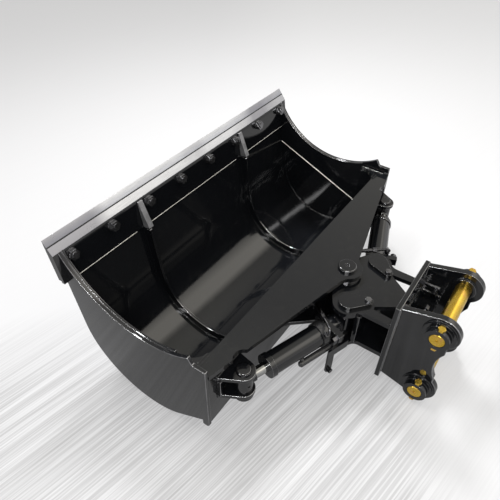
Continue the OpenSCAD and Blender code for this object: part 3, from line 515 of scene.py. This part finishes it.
class Finish(Enum):
    """The finishes of the bucket."""

    COAT = BlackCoat()
    SATIN = BlackCoat(
        "satin_coat", (0.020, 0.020, 0.021), (0.05, 0.05, 0.05), gloss=0.20, dull=0.34, peel=0.14
    )
    ROUGH = BlackCoat("rough_weld", (0.012, 0.012, 0.013), gloss=0.05, dull=0.16, peel=1.1, ior=2.3)
    LIP = GroundEdge("lip_plate_ground")
    EDGE = GroundEdge("cutting_edge_ground")
    # Lighter grey metal on the roundings of coated pieces: a painted highlight along their edges.
    RIM = Plated("coat_edge", (0.16, 0.16, 0.165), (0.34, 0.34, 0.35), 0.08, 0.20)
    BOLT = Plated(
        "dark_bolts", (0.09, 0.09, 0.095), (0.26, 0.26, 0.27), 0.06, 0.14, metallic=0.9, turned=0.04
    )
    GOLD = Plated("gold_zinc", (0.62, 0.40, 0.045), (0.76, 0.52, 0.09), 0.20, 0.34, tint=(0.70, 0.36, 0.14))
    CHROME = Plated("rod_chrome", (0.26, 0.26, 0.26), (0.40, 0.40, 0.39), 0.05, 0.12, turned=0.04)
    BRONZE = Plated("bronze", (0.42, 0.27, 0.11), (0.58, 0.40, 0.18), 0.25, 0.40)
    FITTING = Plated("fitting_steel", (0.06, 0.06, 0.065), (0.17, 0.17, 0.18), 0.12, 0.26)
    TUBE = Plated("tube_steel", (0.45, 0.46, 0.48), (0.66, 0.67, 0.69), 0.14, 0.26)
    # Mid grey metal on the lip bars, lighter than the coat: a painted reflection of the sky on their faces.
    BAR = Plated("lip_bar_steel", (0.16, 0.16, 0.165), (0.30, 0.30, 0.31), 0.22, 0.42, metallic=0.6)
    # Light beige metal on some weld beads: a painted highlight where the beads catch the bright window.
    RUN = Plated("bright_run", (0.62, 0.60, 0.55), (0.85, 0.83, 0.78), 0.18, 0.34, metallic=0.55)


# Meshes


@dataclass(frozen=True)
class Rounding:
    """Rounds the sharp edges of a CAD node."""

    flat: float = math.radians(0.6)
    sharp: float = math.radians(32)
    split: float = math.radians(50)
    merge: float = 2e-6
    segments: int = 2
    weight: int = 80

    def mesh(self, node: str, width: float, rim: int) -> bpy.types.Mesh:
        """Copies a node's mesh and rounds it.

        Args:
            node: the CAD node.
            width: the rounding's width in metres.
            rim: the material slot of the roundings.

        Returns:
            The rounded mesh, with its normals set.
        """
        bm = bmesh.new()
        bm.from_mesh(frame["nodes"][node].data)
        bmesh.ops.remove_doubles(bm, verts=bm.verts, dist=self.merge)
        bmesh.ops.dissolve_limit(bm, angle_limit=self.flat, verts=bm.verts, edges=bm.edges)
        sharp = [e for e in bm.edges if len(e.link_faces) == 2 and e.calc_face_angle(0.0) > self.sharp]
        if sharp:
            bmesh.ops.bevel(
                bm,
                geom=sharp,
                offset=width,
                segments=self.segments,
                profile=0.5,
                affect="EDGES",
                clamp_overlap=True,
                material=rim,
            )
        bmesh.ops.triangulate(bm, faces=[f for f in bm.faces if len(f.verts) > 4])
        for face in bm.faces:
            face.smooth = True
        mesh = bpy.data.meshes.new(node + "_soft")
        bm.to_mesh(mesh)
        bm.free()
        mesh.set_sharp_from_angle(angle=self.split)
        return self.weighted(mesh, node + "_rounded")

    def weighted(self, mesh: bpy.types.Mesh, name: str) -> bpy.types.Mesh:
        """Copies a mesh with normals that follow its larger faces.

        Args:
            mesh: the mesh.
            name: the copy's name.

        Returns:
            The copy.
        """
        carrier = bpy.data.objects.new(name + "_carrier", mesh)
        bpy.context.scene.collection.objects.link(carrier)
        weight = carrier.modifiers.new("weight", "WEIGHTED_NORMAL")
        weight.keep_sharp = True
        weight.weight = self.weight
        graph = bpy.context.evaluated_depsgraph_get()
        done = bpy.data.meshes.new_from_object(carrier.evaluated_get(graph))
        bpy.data.objects.remove(carrier)
        done.name = name
        return done


@dataclass(frozen=True)
class Bead:
    """One run of weld, a round bead with the ripples of its passes."""

    name: str
    points: list[Vector]
    radius: float
    finish: Finish = Finish.COAT
    closed: bool = False
    pitch: float = 5.0
    sides: int = 8
    ripple: tuple[float, ...] = (0.86, 1.0, 0.95)
    steady: Place = (0.31, 0.27, 0.91)
    end_size: float = 0.55
    end_growth: float = 0.22

    def path(self) -> list[Vector]:
        """Returns points along the run, one for each ripple."""
        corners = self.points + ([self.points[0]] if self.closed else [])
        step = self.pitch * MM / len(self.ripple)
        path: list[Vector] = []
        for a, b in zip(corners, corners[1:]):
            count = max(1, round((b - a).length / step))
            path += [a.lerp(b, i / count) for i in range(count)]
        if not self.closed:
            path.append(corners[-1])
        return path

    def size(self, i: int, total: int) -> float:
        """Returns the bead's radius in metres at a point of its path.

        Args:
            i: the point's number.
            total: how many points the path has.

        Returns:
            The radius, with ripples, a slight wander and thin ends.
        """
        wander = 1 + 0.05 * math.sin(i * 0.37) + 0.03 * math.sin(i * 1.31 + 1.0)
        ends = min(1.0, self.end_size + self.end_growth * min(i, total - 1 - i))
        return self.radius * MM * self.ripple[i % len(self.ripple)] * wander * (1.0 if self.closed else ends)

    def mesh(self) -> bpy.types.Mesh:
        """Returns the run's mesh."""
        path = self.path()
        total = len(path)
        turns = [2 * math.pi * k / self.sides for k in range(self.sides)]
        bm = bmesh.new()
        rings = []
        for i, point in enumerate(path):
            ahead = path[(i + 1) % total] if self.closed or i + 1 < total else point
            behind = path[i - 1] if self.closed or i > 0 else point
            along = (ahead - behind).normalized()
            side = along.cross(Vector(self.steady)).normalized()
            up = side.cross(along)
            r = self.size(i, total)
            ring = [point + side * (r * math.cos(a)) + up * (r * math.sin(a)) for a in turns]
            rings.append([bm.verts.new(spot) for spot in ring])
        pairs = list(zip(rings, rings[1:])) + ([(rings[-1], rings[0])] if self.closed else [])
        for low, high in pairs:
            for k in range(self.sides):
                n = (k + 1) % self.sides
                bm.faces.new((low[k], low[n], high[n], high[k])).smooth = True
        if not self.closed:
            bm.faces.new(list(reversed(rings[0])))
            bm.faces.new(rings[-1])
        mesh = bpy.data.meshes.new(self.name)
        bm.to_mesh(mesh)
        bm.free()
        return mesh


# Sub-assemblies


@dataclass
class Workshop:
    """Makes each finish once and knows which body carries each node."""

    rounding: Rounding = Rounding()
    made: dict[Finish, bpy.types.Material] = field(default_factory=dict)
    body_of: dict[str, Body] = field(default_factory=dict)

    def __post_init__(self) -> None:
        """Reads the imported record's bodies."""
        for body, nodes in frame["record"]["behaviour"]["bodies"].items():
            self.body_of.update({node: Body(body) for node in nodes})

    def material(self, finish: Finish) -> bpy.types.Material:
        """Returns a finish's material, made once."""
        if finish not in self.made:
            self.made[finish] = finish.value.build()
        return self.made[finish]

    def piece(self, name: str, mesh: bpy.types.Mesh, finish: Finish, body: Body) -> bpy.types.Object:
        """Links a mesh as a piece that rides on a body.

        Args:
            name: the piece's name.
            mesh: its mesh.
            finish: its main finish.
            body: the body it rides on.

        Returns:
            The piece.
        """
        mesh.materials.append(self.material(finish))
        piece = bpy.data.objects.new(name, mesh)
        bpy.context.scene.collection.objects.link(piece)
        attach(piece, body.value)
        return piece

    def dress(self, node: str, width: float, finish: Finish) -> bpy.types.Object:
        """Replaces a CAD node by its rounded copy; coated pieces get roundings in a lighter metal, a painted
        edge highlight.

        Args:
            node: the CAD node.
            width: the rounding's width in millimetres.
            finish: its finish.

        Returns:
            The rounded piece.
        """
        coated = finish is Finish.COAT
        mesh = self.rounding.mesh(node, width * MM, rim=1 if coated else 0)
        piece = self.piece(node + "_look", mesh, finish, self.body_of[node])
        # The roundings of coated pieces take the lighter metal: painted edge highlight.
        if coated:
            mesh.materials.append(self.material(Finish.RIM))
        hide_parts(node)
        log.info("%s: rounded by %.1f mm", piece.name, width)
        return piece

    def weld(self, bead: Bead, body: Body) -> None:
        """Lays a run of weld.

        Args:
            bead: the run.
            body: the body it rides on.
        """
        piece = self.piece(bead.name, bead.mesh(), bead.finish, body)
        log.info("%s: %d faces", piece.name, len(piece.data.polygons))


@dataclass(frozen=True)
class Look:
    """The rounding in millimetres and the finish of some nodes."""

    nodes: tuple[str, ...]
    width: float
    finish: Finish = Finish.COAT


@dataclass
class Assembly:
    """A sub-assembly, whose nodes are dressed and whose seams are welded."""

    shop: Workshop
    body: Body
    looks: tuple[Look, ...] = ()

    def dress(self) -> None:
        """Dresses the sub-assembly's nodes."""
        for look in self.looks:
            for node in look.nodes:
                self.shop.dress(node, look.width, look.finish)

    def twins(self, name: str, points: list[Place], radius: float, finish: Finish = Finish.COAT) -> None:
        """Welds a run and its mirror image.

        Args:
            name: the runs' name.
            points: corners on the right side, in the bucket's frame, in millimetres.
            radius: the runs' radius in millimetres.
            finish: their finish.
        """
        for side in Side:
            path = [BUCKET.at(side.value * x, y, z) for x, y, z in points]
            self.shop.weld(Bead(f"{name}_{side.label}", path, radius, finish), self.body)

    def across(self, name: str, end: Place, radius: float, finish: Finish = Finish.COAT) -> None:
        """Welds a run along X through the middle.

        Args:
            name: the run's name.
            end: its right end, in the bucket's frame, in millimetres.
            radius: its radius in millimetres.
            finish: its finish.
        """
        x, y, z = end
        self.shop.weld(Bead(name, [BUCKET.at(-x, y, z), BUCKET.at(x, y, z)], radius, finish), self.body)

    def rings(self, name: str, x: float, centre: Span, r: float, radius: float, steps: int = 48) -> None:
        """Welds a pair of closed runs round an axis along X.

        Args:
            name: the runs' name.
            x: distance from the middle.
            centre: the axis, as y and z in the bucket's frame.
            r: the run's own circle's radius.
            radius: the bead's radius.
            steps: points round the circle.
        """
        turns = [2 * math.pi * i / steps for i in range(steps)]
        for side in Side:
            path = [
                BUCKET.at(side.value * x, centre[0] + r * math.cos(a), centre[1] + r * math.sin(a))
                for a in turns
            ]
            self.shop.weld(Bead(f"{name}_{side.label}", path, radius, closed=True), self.body)


@dataclass
class Bowl(Assembly):
    """The bucket itself, with its cutting edge and the brackets on its rear wall."""

    body: Body = Body.BUCKET
    looks: tuple[Look, ...] = (
        Look(("side_plate_left", "side_plate_right"), 1.8),
        Look(("side_doubler_left", "side_doubler_right"), 1.4),
        Look(("shell",), 1.0),
        Look(("rear_wall",), 1.6),
        Look(("top_plate",), 2.0),
        Look(("lip_plate",), 0.5, Finish.LIP),
        Look(("cutting_edge",), 0.5, Finish.EDGE),
        Look(("inner_rib_left", "inner_rib_right"), 2.2),
        # The lip bars take the lighter metal: painted reflection of the sky.
        Look(("lip_bars",), 1.6, Finish.BAR),
        Look(("edge_bolts",), 0.5, Finish.BOLT),
        Look(("bracket_upper_lugs", "bracket_lower_lugs"), 1.8),
        Look(("bracket_gussets",), 1.6),
        Look(("rod_pins", "pivot_pin"), 0.6),
        Look(("pivot_keeper",), 0.8, Finish.BOLT),
        Look(("thrust_washers",), 0.4, Finish.BOLT),
        Look(("lower_pivot_plate",), 1.6),
        Look(("pivot_gussets",), 1.2),
        Look(("bucket_nipples",), 0.2, Finish.FITTING),
    )
    plate_end: tuple[Place, ...] = ((563.2, 126.0, 1.2), (563.2, 219.0, 1.2))
    plate_corner: tuple[Place, ...] = ((571.2, 107.0, 1.0), (571.2, 125.0, 1.0))
    corner_run_a: tuple[Place, ...] = ((512.0, 147.0, 0.6), (558.0, 147.0, 0.6))
    corner_run_b: tuple[Place, ...] = ((514.0, 155.5, 0.6), (558.0, 155.5, 0.6))
    plate_under: Place = (570.0, 111.4, -16.6)
    lip_line: Span = (-15.6, 186.4)
    lip_spans: tuple[tuple[str, float, float], ...] = (
        ("left", -562.0, -308.0),
        ("middle", -262.0, 232.0),
        ("right", 278.0, 562.0),
    )
    rib_faces: tuple[tuple[str, float], ...] = (("in", 263.6), ("out", 276.4))
    rib_depth: float = 9.0
    end_face: float = 569.5
    end_depth: float = 9.5
    band_face: float = 562.5
    band_front: Span = (-10.0, 117.0)
    band_rear: Span = (126.0, -213.0)
    rear_inside: Place = (568.0, 125.5, -200.5)
    rear_face: float = 111.2
    lug_span: Span = (431.0, 536.0)
    lug_heights: tuple[tuple[str, float], ...] = (("a", -54.0), ("b", -67.6), ("c", -136.4), ("d", -150.0))
    pivot_plate_half: float = 168.0
    pivot_plate_heights: tuple[tuple[str, float], ...] = (("top", -187.4), ("low", -204.2))
    gusset_faces: tuple[tuple[str, float], ...] = (("in", 50.4), ("out", 63.0))
    gusset_span: Span = (-20.0, -186.0)

    def weld_plates(self) -> None:
        """Welds the top plate to the side plates and the rear wall."""
        self.twins("plate_end_weld", list(self.plate_end), 4.0, Finish.ROUGH)
        self.twins("plate_corner_weld", list(self.plate_corner), 4.0)
        self.twins("corner_run_a", list(self.corner_run_a), 2.2)
        self.twins("corner_run_b", list(self.corner_run_b), 2.2)
        self.across("plate_under_weld", self.plate_under, 4.0)

    def weld_bowl(self) -> None:
        """Welds the lip, the ribs, the shell and the bands."""
        # The lip beads take the light finish: a painted highlight along the joint.
        for label, a, b in self.lip_spans:
            run = [BUCKET.front(x, *self.lip_line) for x in (a, b)]
            self.shop.weld(Bead(f"lip_weld_{label}", run, 2.2, Finish.RUN), self.body)
        for label, x in self.rib_faces:
            self.twins(f"rib_weld_{label}", BUCKET.bowl(self.rib_depth, x), 3.0)
        self.twins("bowl_weld", BUCKET.bowl(self.end_depth, self.end_face), 4.0)
        # Only the right band's bead takes the light finish and the left one plain coat: a painted highlight
        # on one side.
        for side in Side:
            x = side.value * self.band_face
            run = [BUCKET.front(x, *self.band_front), BUCKET.at(x, *self.band_rear)]
            finish = Finish.RUN if side is Side.RIGHT else Finish.COAT
            self.shop.weld(Bead(f"band_weld_{side.label}", run, 2.4, finish), self.body)
        self.across("rear_inside_weld", self.rear_inside, 4.0)

    def weld_brackets(self) -> None:
        """Welds the cylinder brackets and the lower pivot plate to the rear wall."""
        y = self.rear_face
        for label, z in self.lug_heights:
            self.twins(f"lug_weld_{label}", [(x, y, z) for x in self.lug_span], 3.6)
        for label, z in self.pivot_plate_heights:
            self.across(f"pivot_plate_weld_{label}", (self.pivot_plate_half, y, z), 4.0)
        for label, x in self.gusset_faces:
            self.twins(f"gusset_weld_{label}", [(x, y, z) for z in self.gusset_span], 3.2)

    def weld(self) -> None:
        """Welds the bucket."""
        self.weld_plates()
        self.weld_bowl()
        self.weld_brackets()


@dataclass
class Hitch(Assembly):
    """The knuckle, the headstock and the ears with their pins."""

    body: Body = Body.HITCH
    looks: tuple[Look, ...] = (
        Look(("knuckle_top_plate", "knuckle_bottom_plate"), 1.8),
        Look(("cross_web", "centre_web"), 1.2),
        Look(("pivot_tube",), 0.6),
        Look(("pivot_bushes",), 0.3, Finish.BRONZE),
        Look(("base_pins",), 1.2),
        Look(("base_pin_feet",), 0.8, Finish.BOLT),
        Look(("flag_bolts",), 0.5, Finish.BOLT),
        Look(("headstock_plate",), 1.8),
        Look(("under_gusset",), 1.2),
        Look(("ear_left", "ear_right"), 2.0),
        Look(("ear_bosses",), 1.2),
        Look(("inner_rings",), 0.8),
        Look(("upper_pin", "lower_pin"), 0.4, Finish.GOLD),
        Look(("lock_bolts",), 0.5, Finish.GOLD),
        Look(("ear_shelf",), 1.4),
        Look(("hitch_tubes",), 0.4, Finish.TUBE),
        Look(("bulkhead_elbows",), 0.4, Finish.FITTING),
    )
    plate_faces: tuple[tuple[str, float], ...] = (
        ("top", -28.6),
        ("under", -45.4),
        ("deck", -164.6),
        ("low", -181.4),
    )
    headstock_front: float = -200.6
    headstock_span: Span = (29.0, 115.0)
    web_ends: tuple[tuple[str, float], ...] = (("top", -45.6), ("low", -164.4))
    web_half: float = 126.0
    web_rear: float = -114.6
    centre_face: float = 7.4
    centre_span: Span = (-117.0, -199.0)
    headstock_rear: float = -216.8
    ear_faces: tuple[tuple[str, float], ...] = (("out", 115.4), ("in", 94.6))
    ear_span: Span = (-245.0, 53.0)
    pin_axes: tuple[tuple[str, Span], ...] = (("upper", (-333.0, 32.0)), ("lower", (-333.0, -220.0)))
    boss_x: float = 115.6
    boss_r: float = 46.0
    step_x: float = 124.4
    step_r: float = 35.2
    ring_x: float = 94.6
    shelf_back: Place = (93.0, -217.0, -40.0)
    shelf_end: tuple[Place, ...] = ((94.4, -218.0, -40.0), (94.4, -283.0, -40.0))

    def weld_knuckle(self) -> None:
        """Welds the knuckle's plates and webs to each other and to the headstock."""
        for label, z in self.plate_faces:
            run = [(x, self.headstock_front, z) for x in self.headstock_span]
            self.twins(f"headstock_weld_{label}", run, 3.8)
        for label, z in self.web_ends:
            self.across(f"web_weld_{label}", (self.web_half, self.web_rear, z), 3.6)
        for label, z in self.web_ends:
            run = [(self.centre_face, y, z) for y in self.centre_span]
            self.twins(f"centre_web_weld_{label}", run, 3.2)

    def weld_ears(self) -> None:
        """Welds the ears, their bosses and rings, and the shelf between them."""
        for label, x in self.ear_faces:
            run = [(x, self.headstock_rear, z) for z in self.ear_span]
            self.twins(f"ear_weld_{label}", run, 4.4, Finish.ROUGH)
        for label, axis in self.pin_axes:
            self.rings(f"boss_weld_{label}", self.boss_x, axis, self.boss_r, 2.8)
            self.rings(f"boss_step_weld_{label}", self.step_x, axis, self.step_r, 2.2)
            self.rings(f"ring_weld_{label}", self.ring_x, axis, self.step_r, 2.4)
        self.across("shelf_weld_back", self.shelf_back, 4.2, Finish.ROUGH)
        self.twins("shelf_weld_end", list(self.shelf_end), 3.6, Finish.ROUGH)

    def weld(self) -> None:
        """Welds the hitch."""
        self.weld_knuckle()
        self.weld_ears()


@dataclass
class Cylinders:
    """The two tilt cylinders: rods and pistons, and barrels with what is clamped round them."""

    shop: Workshop
    pin: Place = (472.0, 66.0, -102.0)
    along: Span = (0.943657, 0.330926)
    eye_reach: float = 32.5
    rod_width: float = 0.8
    looks: tuple[Look, ...] = (
        Look(("piston",), 0.4, Finish.CHROME),
        Look(("barrel",), 0.8),
        Look(("gland",), 1.0),
        Look(("valve_block",), 1.2),
        Look(("valve_guard",), 1.0),
        Look(("barrel_pipe",), 0.4, Finish.SATIN),
        Look(("valve_fittings",), 0.3, Finish.FITTING),
    )

    def paint_eye(self, rod: bpy.types.Object, side: Side) -> None:
        """Paints the eye of a rod, which leaves only the rod itself bright.

        Args:
            rod: the rod.
            side: the side it is on.
        """
        rod.data.materials.append(self.shop.material(Finish.COAT))
        x, y, z = self.pin
        pin = BUCKET.at(side.value * x, y, z)
        along = BUCKET.way(-side.value * self.along[0], -self.along[1], 0.0)
        for face in rod.data.polygons:
            if (face.center - pin).dot(along) < self.eye_reach * MM:
                face.material_index = 1

    def dress(self) -> None:
        """Dresses both cylinders, node by node."""
        for side in Side:
            rod = self.shop.dress(f"rod_{side.label}", self.rod_width, Finish.CHROME)
            self.paint_eye(rod, side)
        for look in self.looks:
            for name in look.nodes:
                for side in Side:
                    self.shop.dress(f"{name}_{side.label}", look.width, look.finish)


# Stage, light and camera

ACROSS: Place = (0.566, -0.825, 0.0)
Sky = tuple[tuple[float, Colour], ...]


@dataclass
class Floor:
    """The plain pale floor, smooth far away and brushed near the bucket, whitened towards the right by a
    painted pool of light.
    """

    size: float = 40.0
    streak_turn: float = math.radians(10.0)
    towards_near: Place = (-0.68, -0.73, 0.0)
    white: Colour = (0.87, 0.87, 0.885)
    whitest: Colour = (0.97, 0.97, 0.98)
    grey: Colour = (0.52, 0.515, 0.52)
    seen_white: Colour = (0.47, 0.47, 0.478)
    seen_grey: Colour = (0.31, 0.31, 0.316)
    bounce: Colour = (0.21, 0.21, 0.215)
    seen_glow: float = 0.50
    mirrored_less: float = 0.16
    cloud_grain: Grain = Grain(1.3, 2.0, 0.5)

    def sheet(self) -> bpy.types.Object:
        """Returns the floor's mesh as an object."""
        bm = bmesh.new()
        bmesh.ops.create_grid(bm, x_segments=1, y_segments=1, size=self.size / 2)
        mesh = bpy.data.meshes.new("floor")
        bm.to_mesh(mesh)
        bm.free()
        floor = bpy.data.objects.new("floor", mesh)
        bpy.context.scene.collection.objects.link(floor)
        return floor

    def material(self) -> bpy.types.Material:
        """Returns the floor's material."""
        g = Graph(bpy.data.materials.new("pale_floor"))
        place = g.place()
        boards = g.noise(place, Grain(1.0, 6.0, 0.72, (0.9, 42.0, 1.0), self.streak_turn))
        lines = g.noise(place, Grain(1.0, 2.0, 0.5, (1.8, 190.0, 1.0), self.streak_turn))
        cloud = g.noise(place, self.cloud_grain)
        side = g.dot(place, ACROSS)
        near = g.dot(place, self.towards_near).ramp(-0.30, 0.10) * side.ramp(0.20, 0.34, 1.0, 0.08)
        grain = boards.ramp(0.38, 0.64) * 0.40 + lines.ramp(0.42, 0.58) * 0.45 + cloud.ramp(0.3, 0.7) * 0.15
        depth = grain * (near * 0.96 + 0.04)
        rays = g.add("ShaderNodeLightPath", out="Is Camera Ray")
        mirrored = Value(g, rays.socket.node.outputs["Is Glossy Ray"])
        lit = g.add(
            "ShaderNodeBsdfPrincipled",
            inputs={
                "Base Color": g.mix(rays, self.bounce, g.mix(depth, self.seen_white, self.seen_grey)),
                "Roughness": 0.5,
                "Normal": g.bump(boards, 0.05, 0.001),
            },
        )
        # Whiter towards the right: a painted pool of light in the floor's glow.
        pale = g.mix(side.ramp(-0.60, 0.30), self.white, self.whitest)
        glow = g.add("ShaderNodeEmission", inputs={"Color": g.mix(depth, pale, self.grey), "Strength": 1.0})
        share = (rays + mirrored).ramp(0.0, 1.0, 0.0, self.seen_glow) - mirrored * self.mirrored_less
        shown = g.add("ShaderNodeMixShader", inputs={0: share, 1: lit, 2: glow})
        g.add("ShaderNodeOutputMaterial", inputs={"Surface": shown})
        return g.owner

    def build(self) -> None:
        """Lays the floor."""
        floor = self.sheet()
        floor.data.materials.append(self.material())
        log.info("floor: %.0f m wide", self.size)


@dataclass(frozen=True)
class Room:
    """A soft room, bright low down and darker overhead, with a bright side."""

    dim: Sky = (
        (0.0, (0.80, 0.80, 0.82)),
        (0.30, (0.34, 0.34, 0.35)),
        (0.55, (0.27, 0.27, 0.255)),
        (0.78, (0.38, 0.375, 0.34)),
        (0.93, (0.86, 0.84, 0.76)),
        (1.0, (0.86, 0.83, 0.75)),
    )
    clear: Sky = (
        (0.0, (0.90, 0.90, 0.92)),
        (0.30, (0.60, 0.60, 0.60)),
        (0.55, (0.62, 0.60, 0.54)),
        (0.78, (0.50, 0.48, 0.44)),
        (0.93, (0.80, 0.78, 0.70)),
        (1.0, (0.86, 0.83, 0.75)),
    )
    window: Sky = (
        (0.0, (0.90, 0.90, 0.92)),
        (0.40, (1.0, 0.97, 0.90)),
        (0.62, (2.3, 2.2, 2.0)),
        (0.80, (2.3, 2.2, 2.0)),
        (0.93, (0.90, 0.87, 0.78)),
        (1.0, (0.86, 0.83, 0.75)),
    )
    clear_from: Span = (-0.40, 0.30)
    window_from: Span = (0.46, 0.60)

    def build(self) -> None:
        """Sets the world."""
        world = bpy.data.worlds.new("room")
        bpy.context.scene.world = world
        g = Graph(world)
        way = g.add("ShaderNodeTexCoord", out="Generated")
        height = g.add("ShaderNodeSeparateXYZ", inputs={0: way}, out=2)
        skies = (self.dim, self.clear, self.window)
        dim, clear, window = (g.add("ShaderNodeValToRGB", {"stops": sky}, {0: height}) for sky in skies)
        reach = g.dot(way, ACROSS)
        tone = g.mix(reach.ramp(*self.window_from), g.mix(reach.ramp(*self.clear_from), dim, clear), window)
        back = g.add("ShaderNodeBackground", inputs={"Color": tone, "Strength": 1.0})
        g.add("ShaderNodeOutputWorld", inputs={"Surface": back})
        log.info("room is set")


@dataclass(frozen=True)
class Softbox:
    """A rectangular softbox that faces the bucket, placed in metres."""

    name: str
    place: Place
    size: Span
    power: float
    mirrored: bool = True
    aim: Place = (0.0, 0.0, 0.25)

    def build(self) -> None:
        """Hangs the softbox."""
        data = bpy.data.lights.new(self.name, "AREA")
        data.shape = "RECTANGLE"
        data.size, data.size_y = self.size
        data.energy = self.power
        lamp = bpy.data.objects.new(self.name, data)
        lamp.location = self.place
        lamp.rotation_euler = (Vector(self.aim) - Vector(self.place)).to_track_quat("-Z", "Y").to_euler()
        lamp.visible_glossy = self.mirrored
        bpy.context.scene.collection.objects.link(lamp)
        log.info("%s: %.0f W", self.name, self.power)


@dataclass(frozen=True)
class View:
    """The camera, at the photograph's place in the bucket's frame."""

    lens: float = 34.98
    film: float = 36.0
    azimuth: float = math.radians(-55.565)
    elevation: float = math.radians(42.639)
    roll: float = math.radians(1.0788)
    eye: Place = (-1086.97, -368.37, 1085.50)

    def build(self) -> None:
        """Sets the camera."""
        a, e = self.azimuth, self.elevation
        back = Vector((math.sin(a) * math.cos(e), -math.cos(a) * math.cos(e), math.sin(e)))
        right = Vector((0, 0, 1)).cross(back).normalized()
        up = back.cross(right)
        c, s = math.cos(self.roll), math.sin(self.roll)
        axes = [BUCKET.turn() @ v for v in (right * c + up * s, right * -s + up * c, back)]
        data = bpy.data.cameras.new("view")
        data.lens = self.lens
        data.sensor_width = self.film
        camera = bpy.data.objects.new("view", data)
        eye = BUCKET.at(*self.eye)
        rows = [[*(axis[i] for axis in axes), eye[i]] for i in range(3)]
        camera.matrix_world = Matrix(rows + [[0, 0, 0, 1]])
        bpy.context.scene.collection.objects.link(camera)
        bpy.context.scene.camera = camera
        bpy.context.scene.view_settings.view_transform = "Standard"
        log.info("camera: %.2f mm", self.lens)


SOFTBOXES = (
    Softbox("overhead", (-0.15, 1.7, 3.6), (1.6, 0.5), 85.0),
    Softbox("key", (1.35, 0.95, 2.9), (0.7, 0.7), 120.0, mirrored=False),
    Softbox("near_strip", (-2.6, -1.6, 3.1), (2.4, 0.3), 80.0),
    Softbox("left_strip", (-3.4, 1.2, 1.9), (2.0, 0.3), 25.0),
)


def main() -> None:
    """Builds the bucket's looks in order."""
    logging.basicConfig(level=logging.INFO, format="%(message)s")
    shop = Workshop()
    for job in (Floor(), Room(), *SOFTBOXES, View()):
        job.build()
    bowl, hitch, cylinders = Bowl(shop), Hitch(shop), Cylinders(shop)
    for part in (bowl, hitch, cylinders):
        part.dress()
    for part in (bowl, hitch):
        part.weld()


if __name__ == "__main__":
    main()
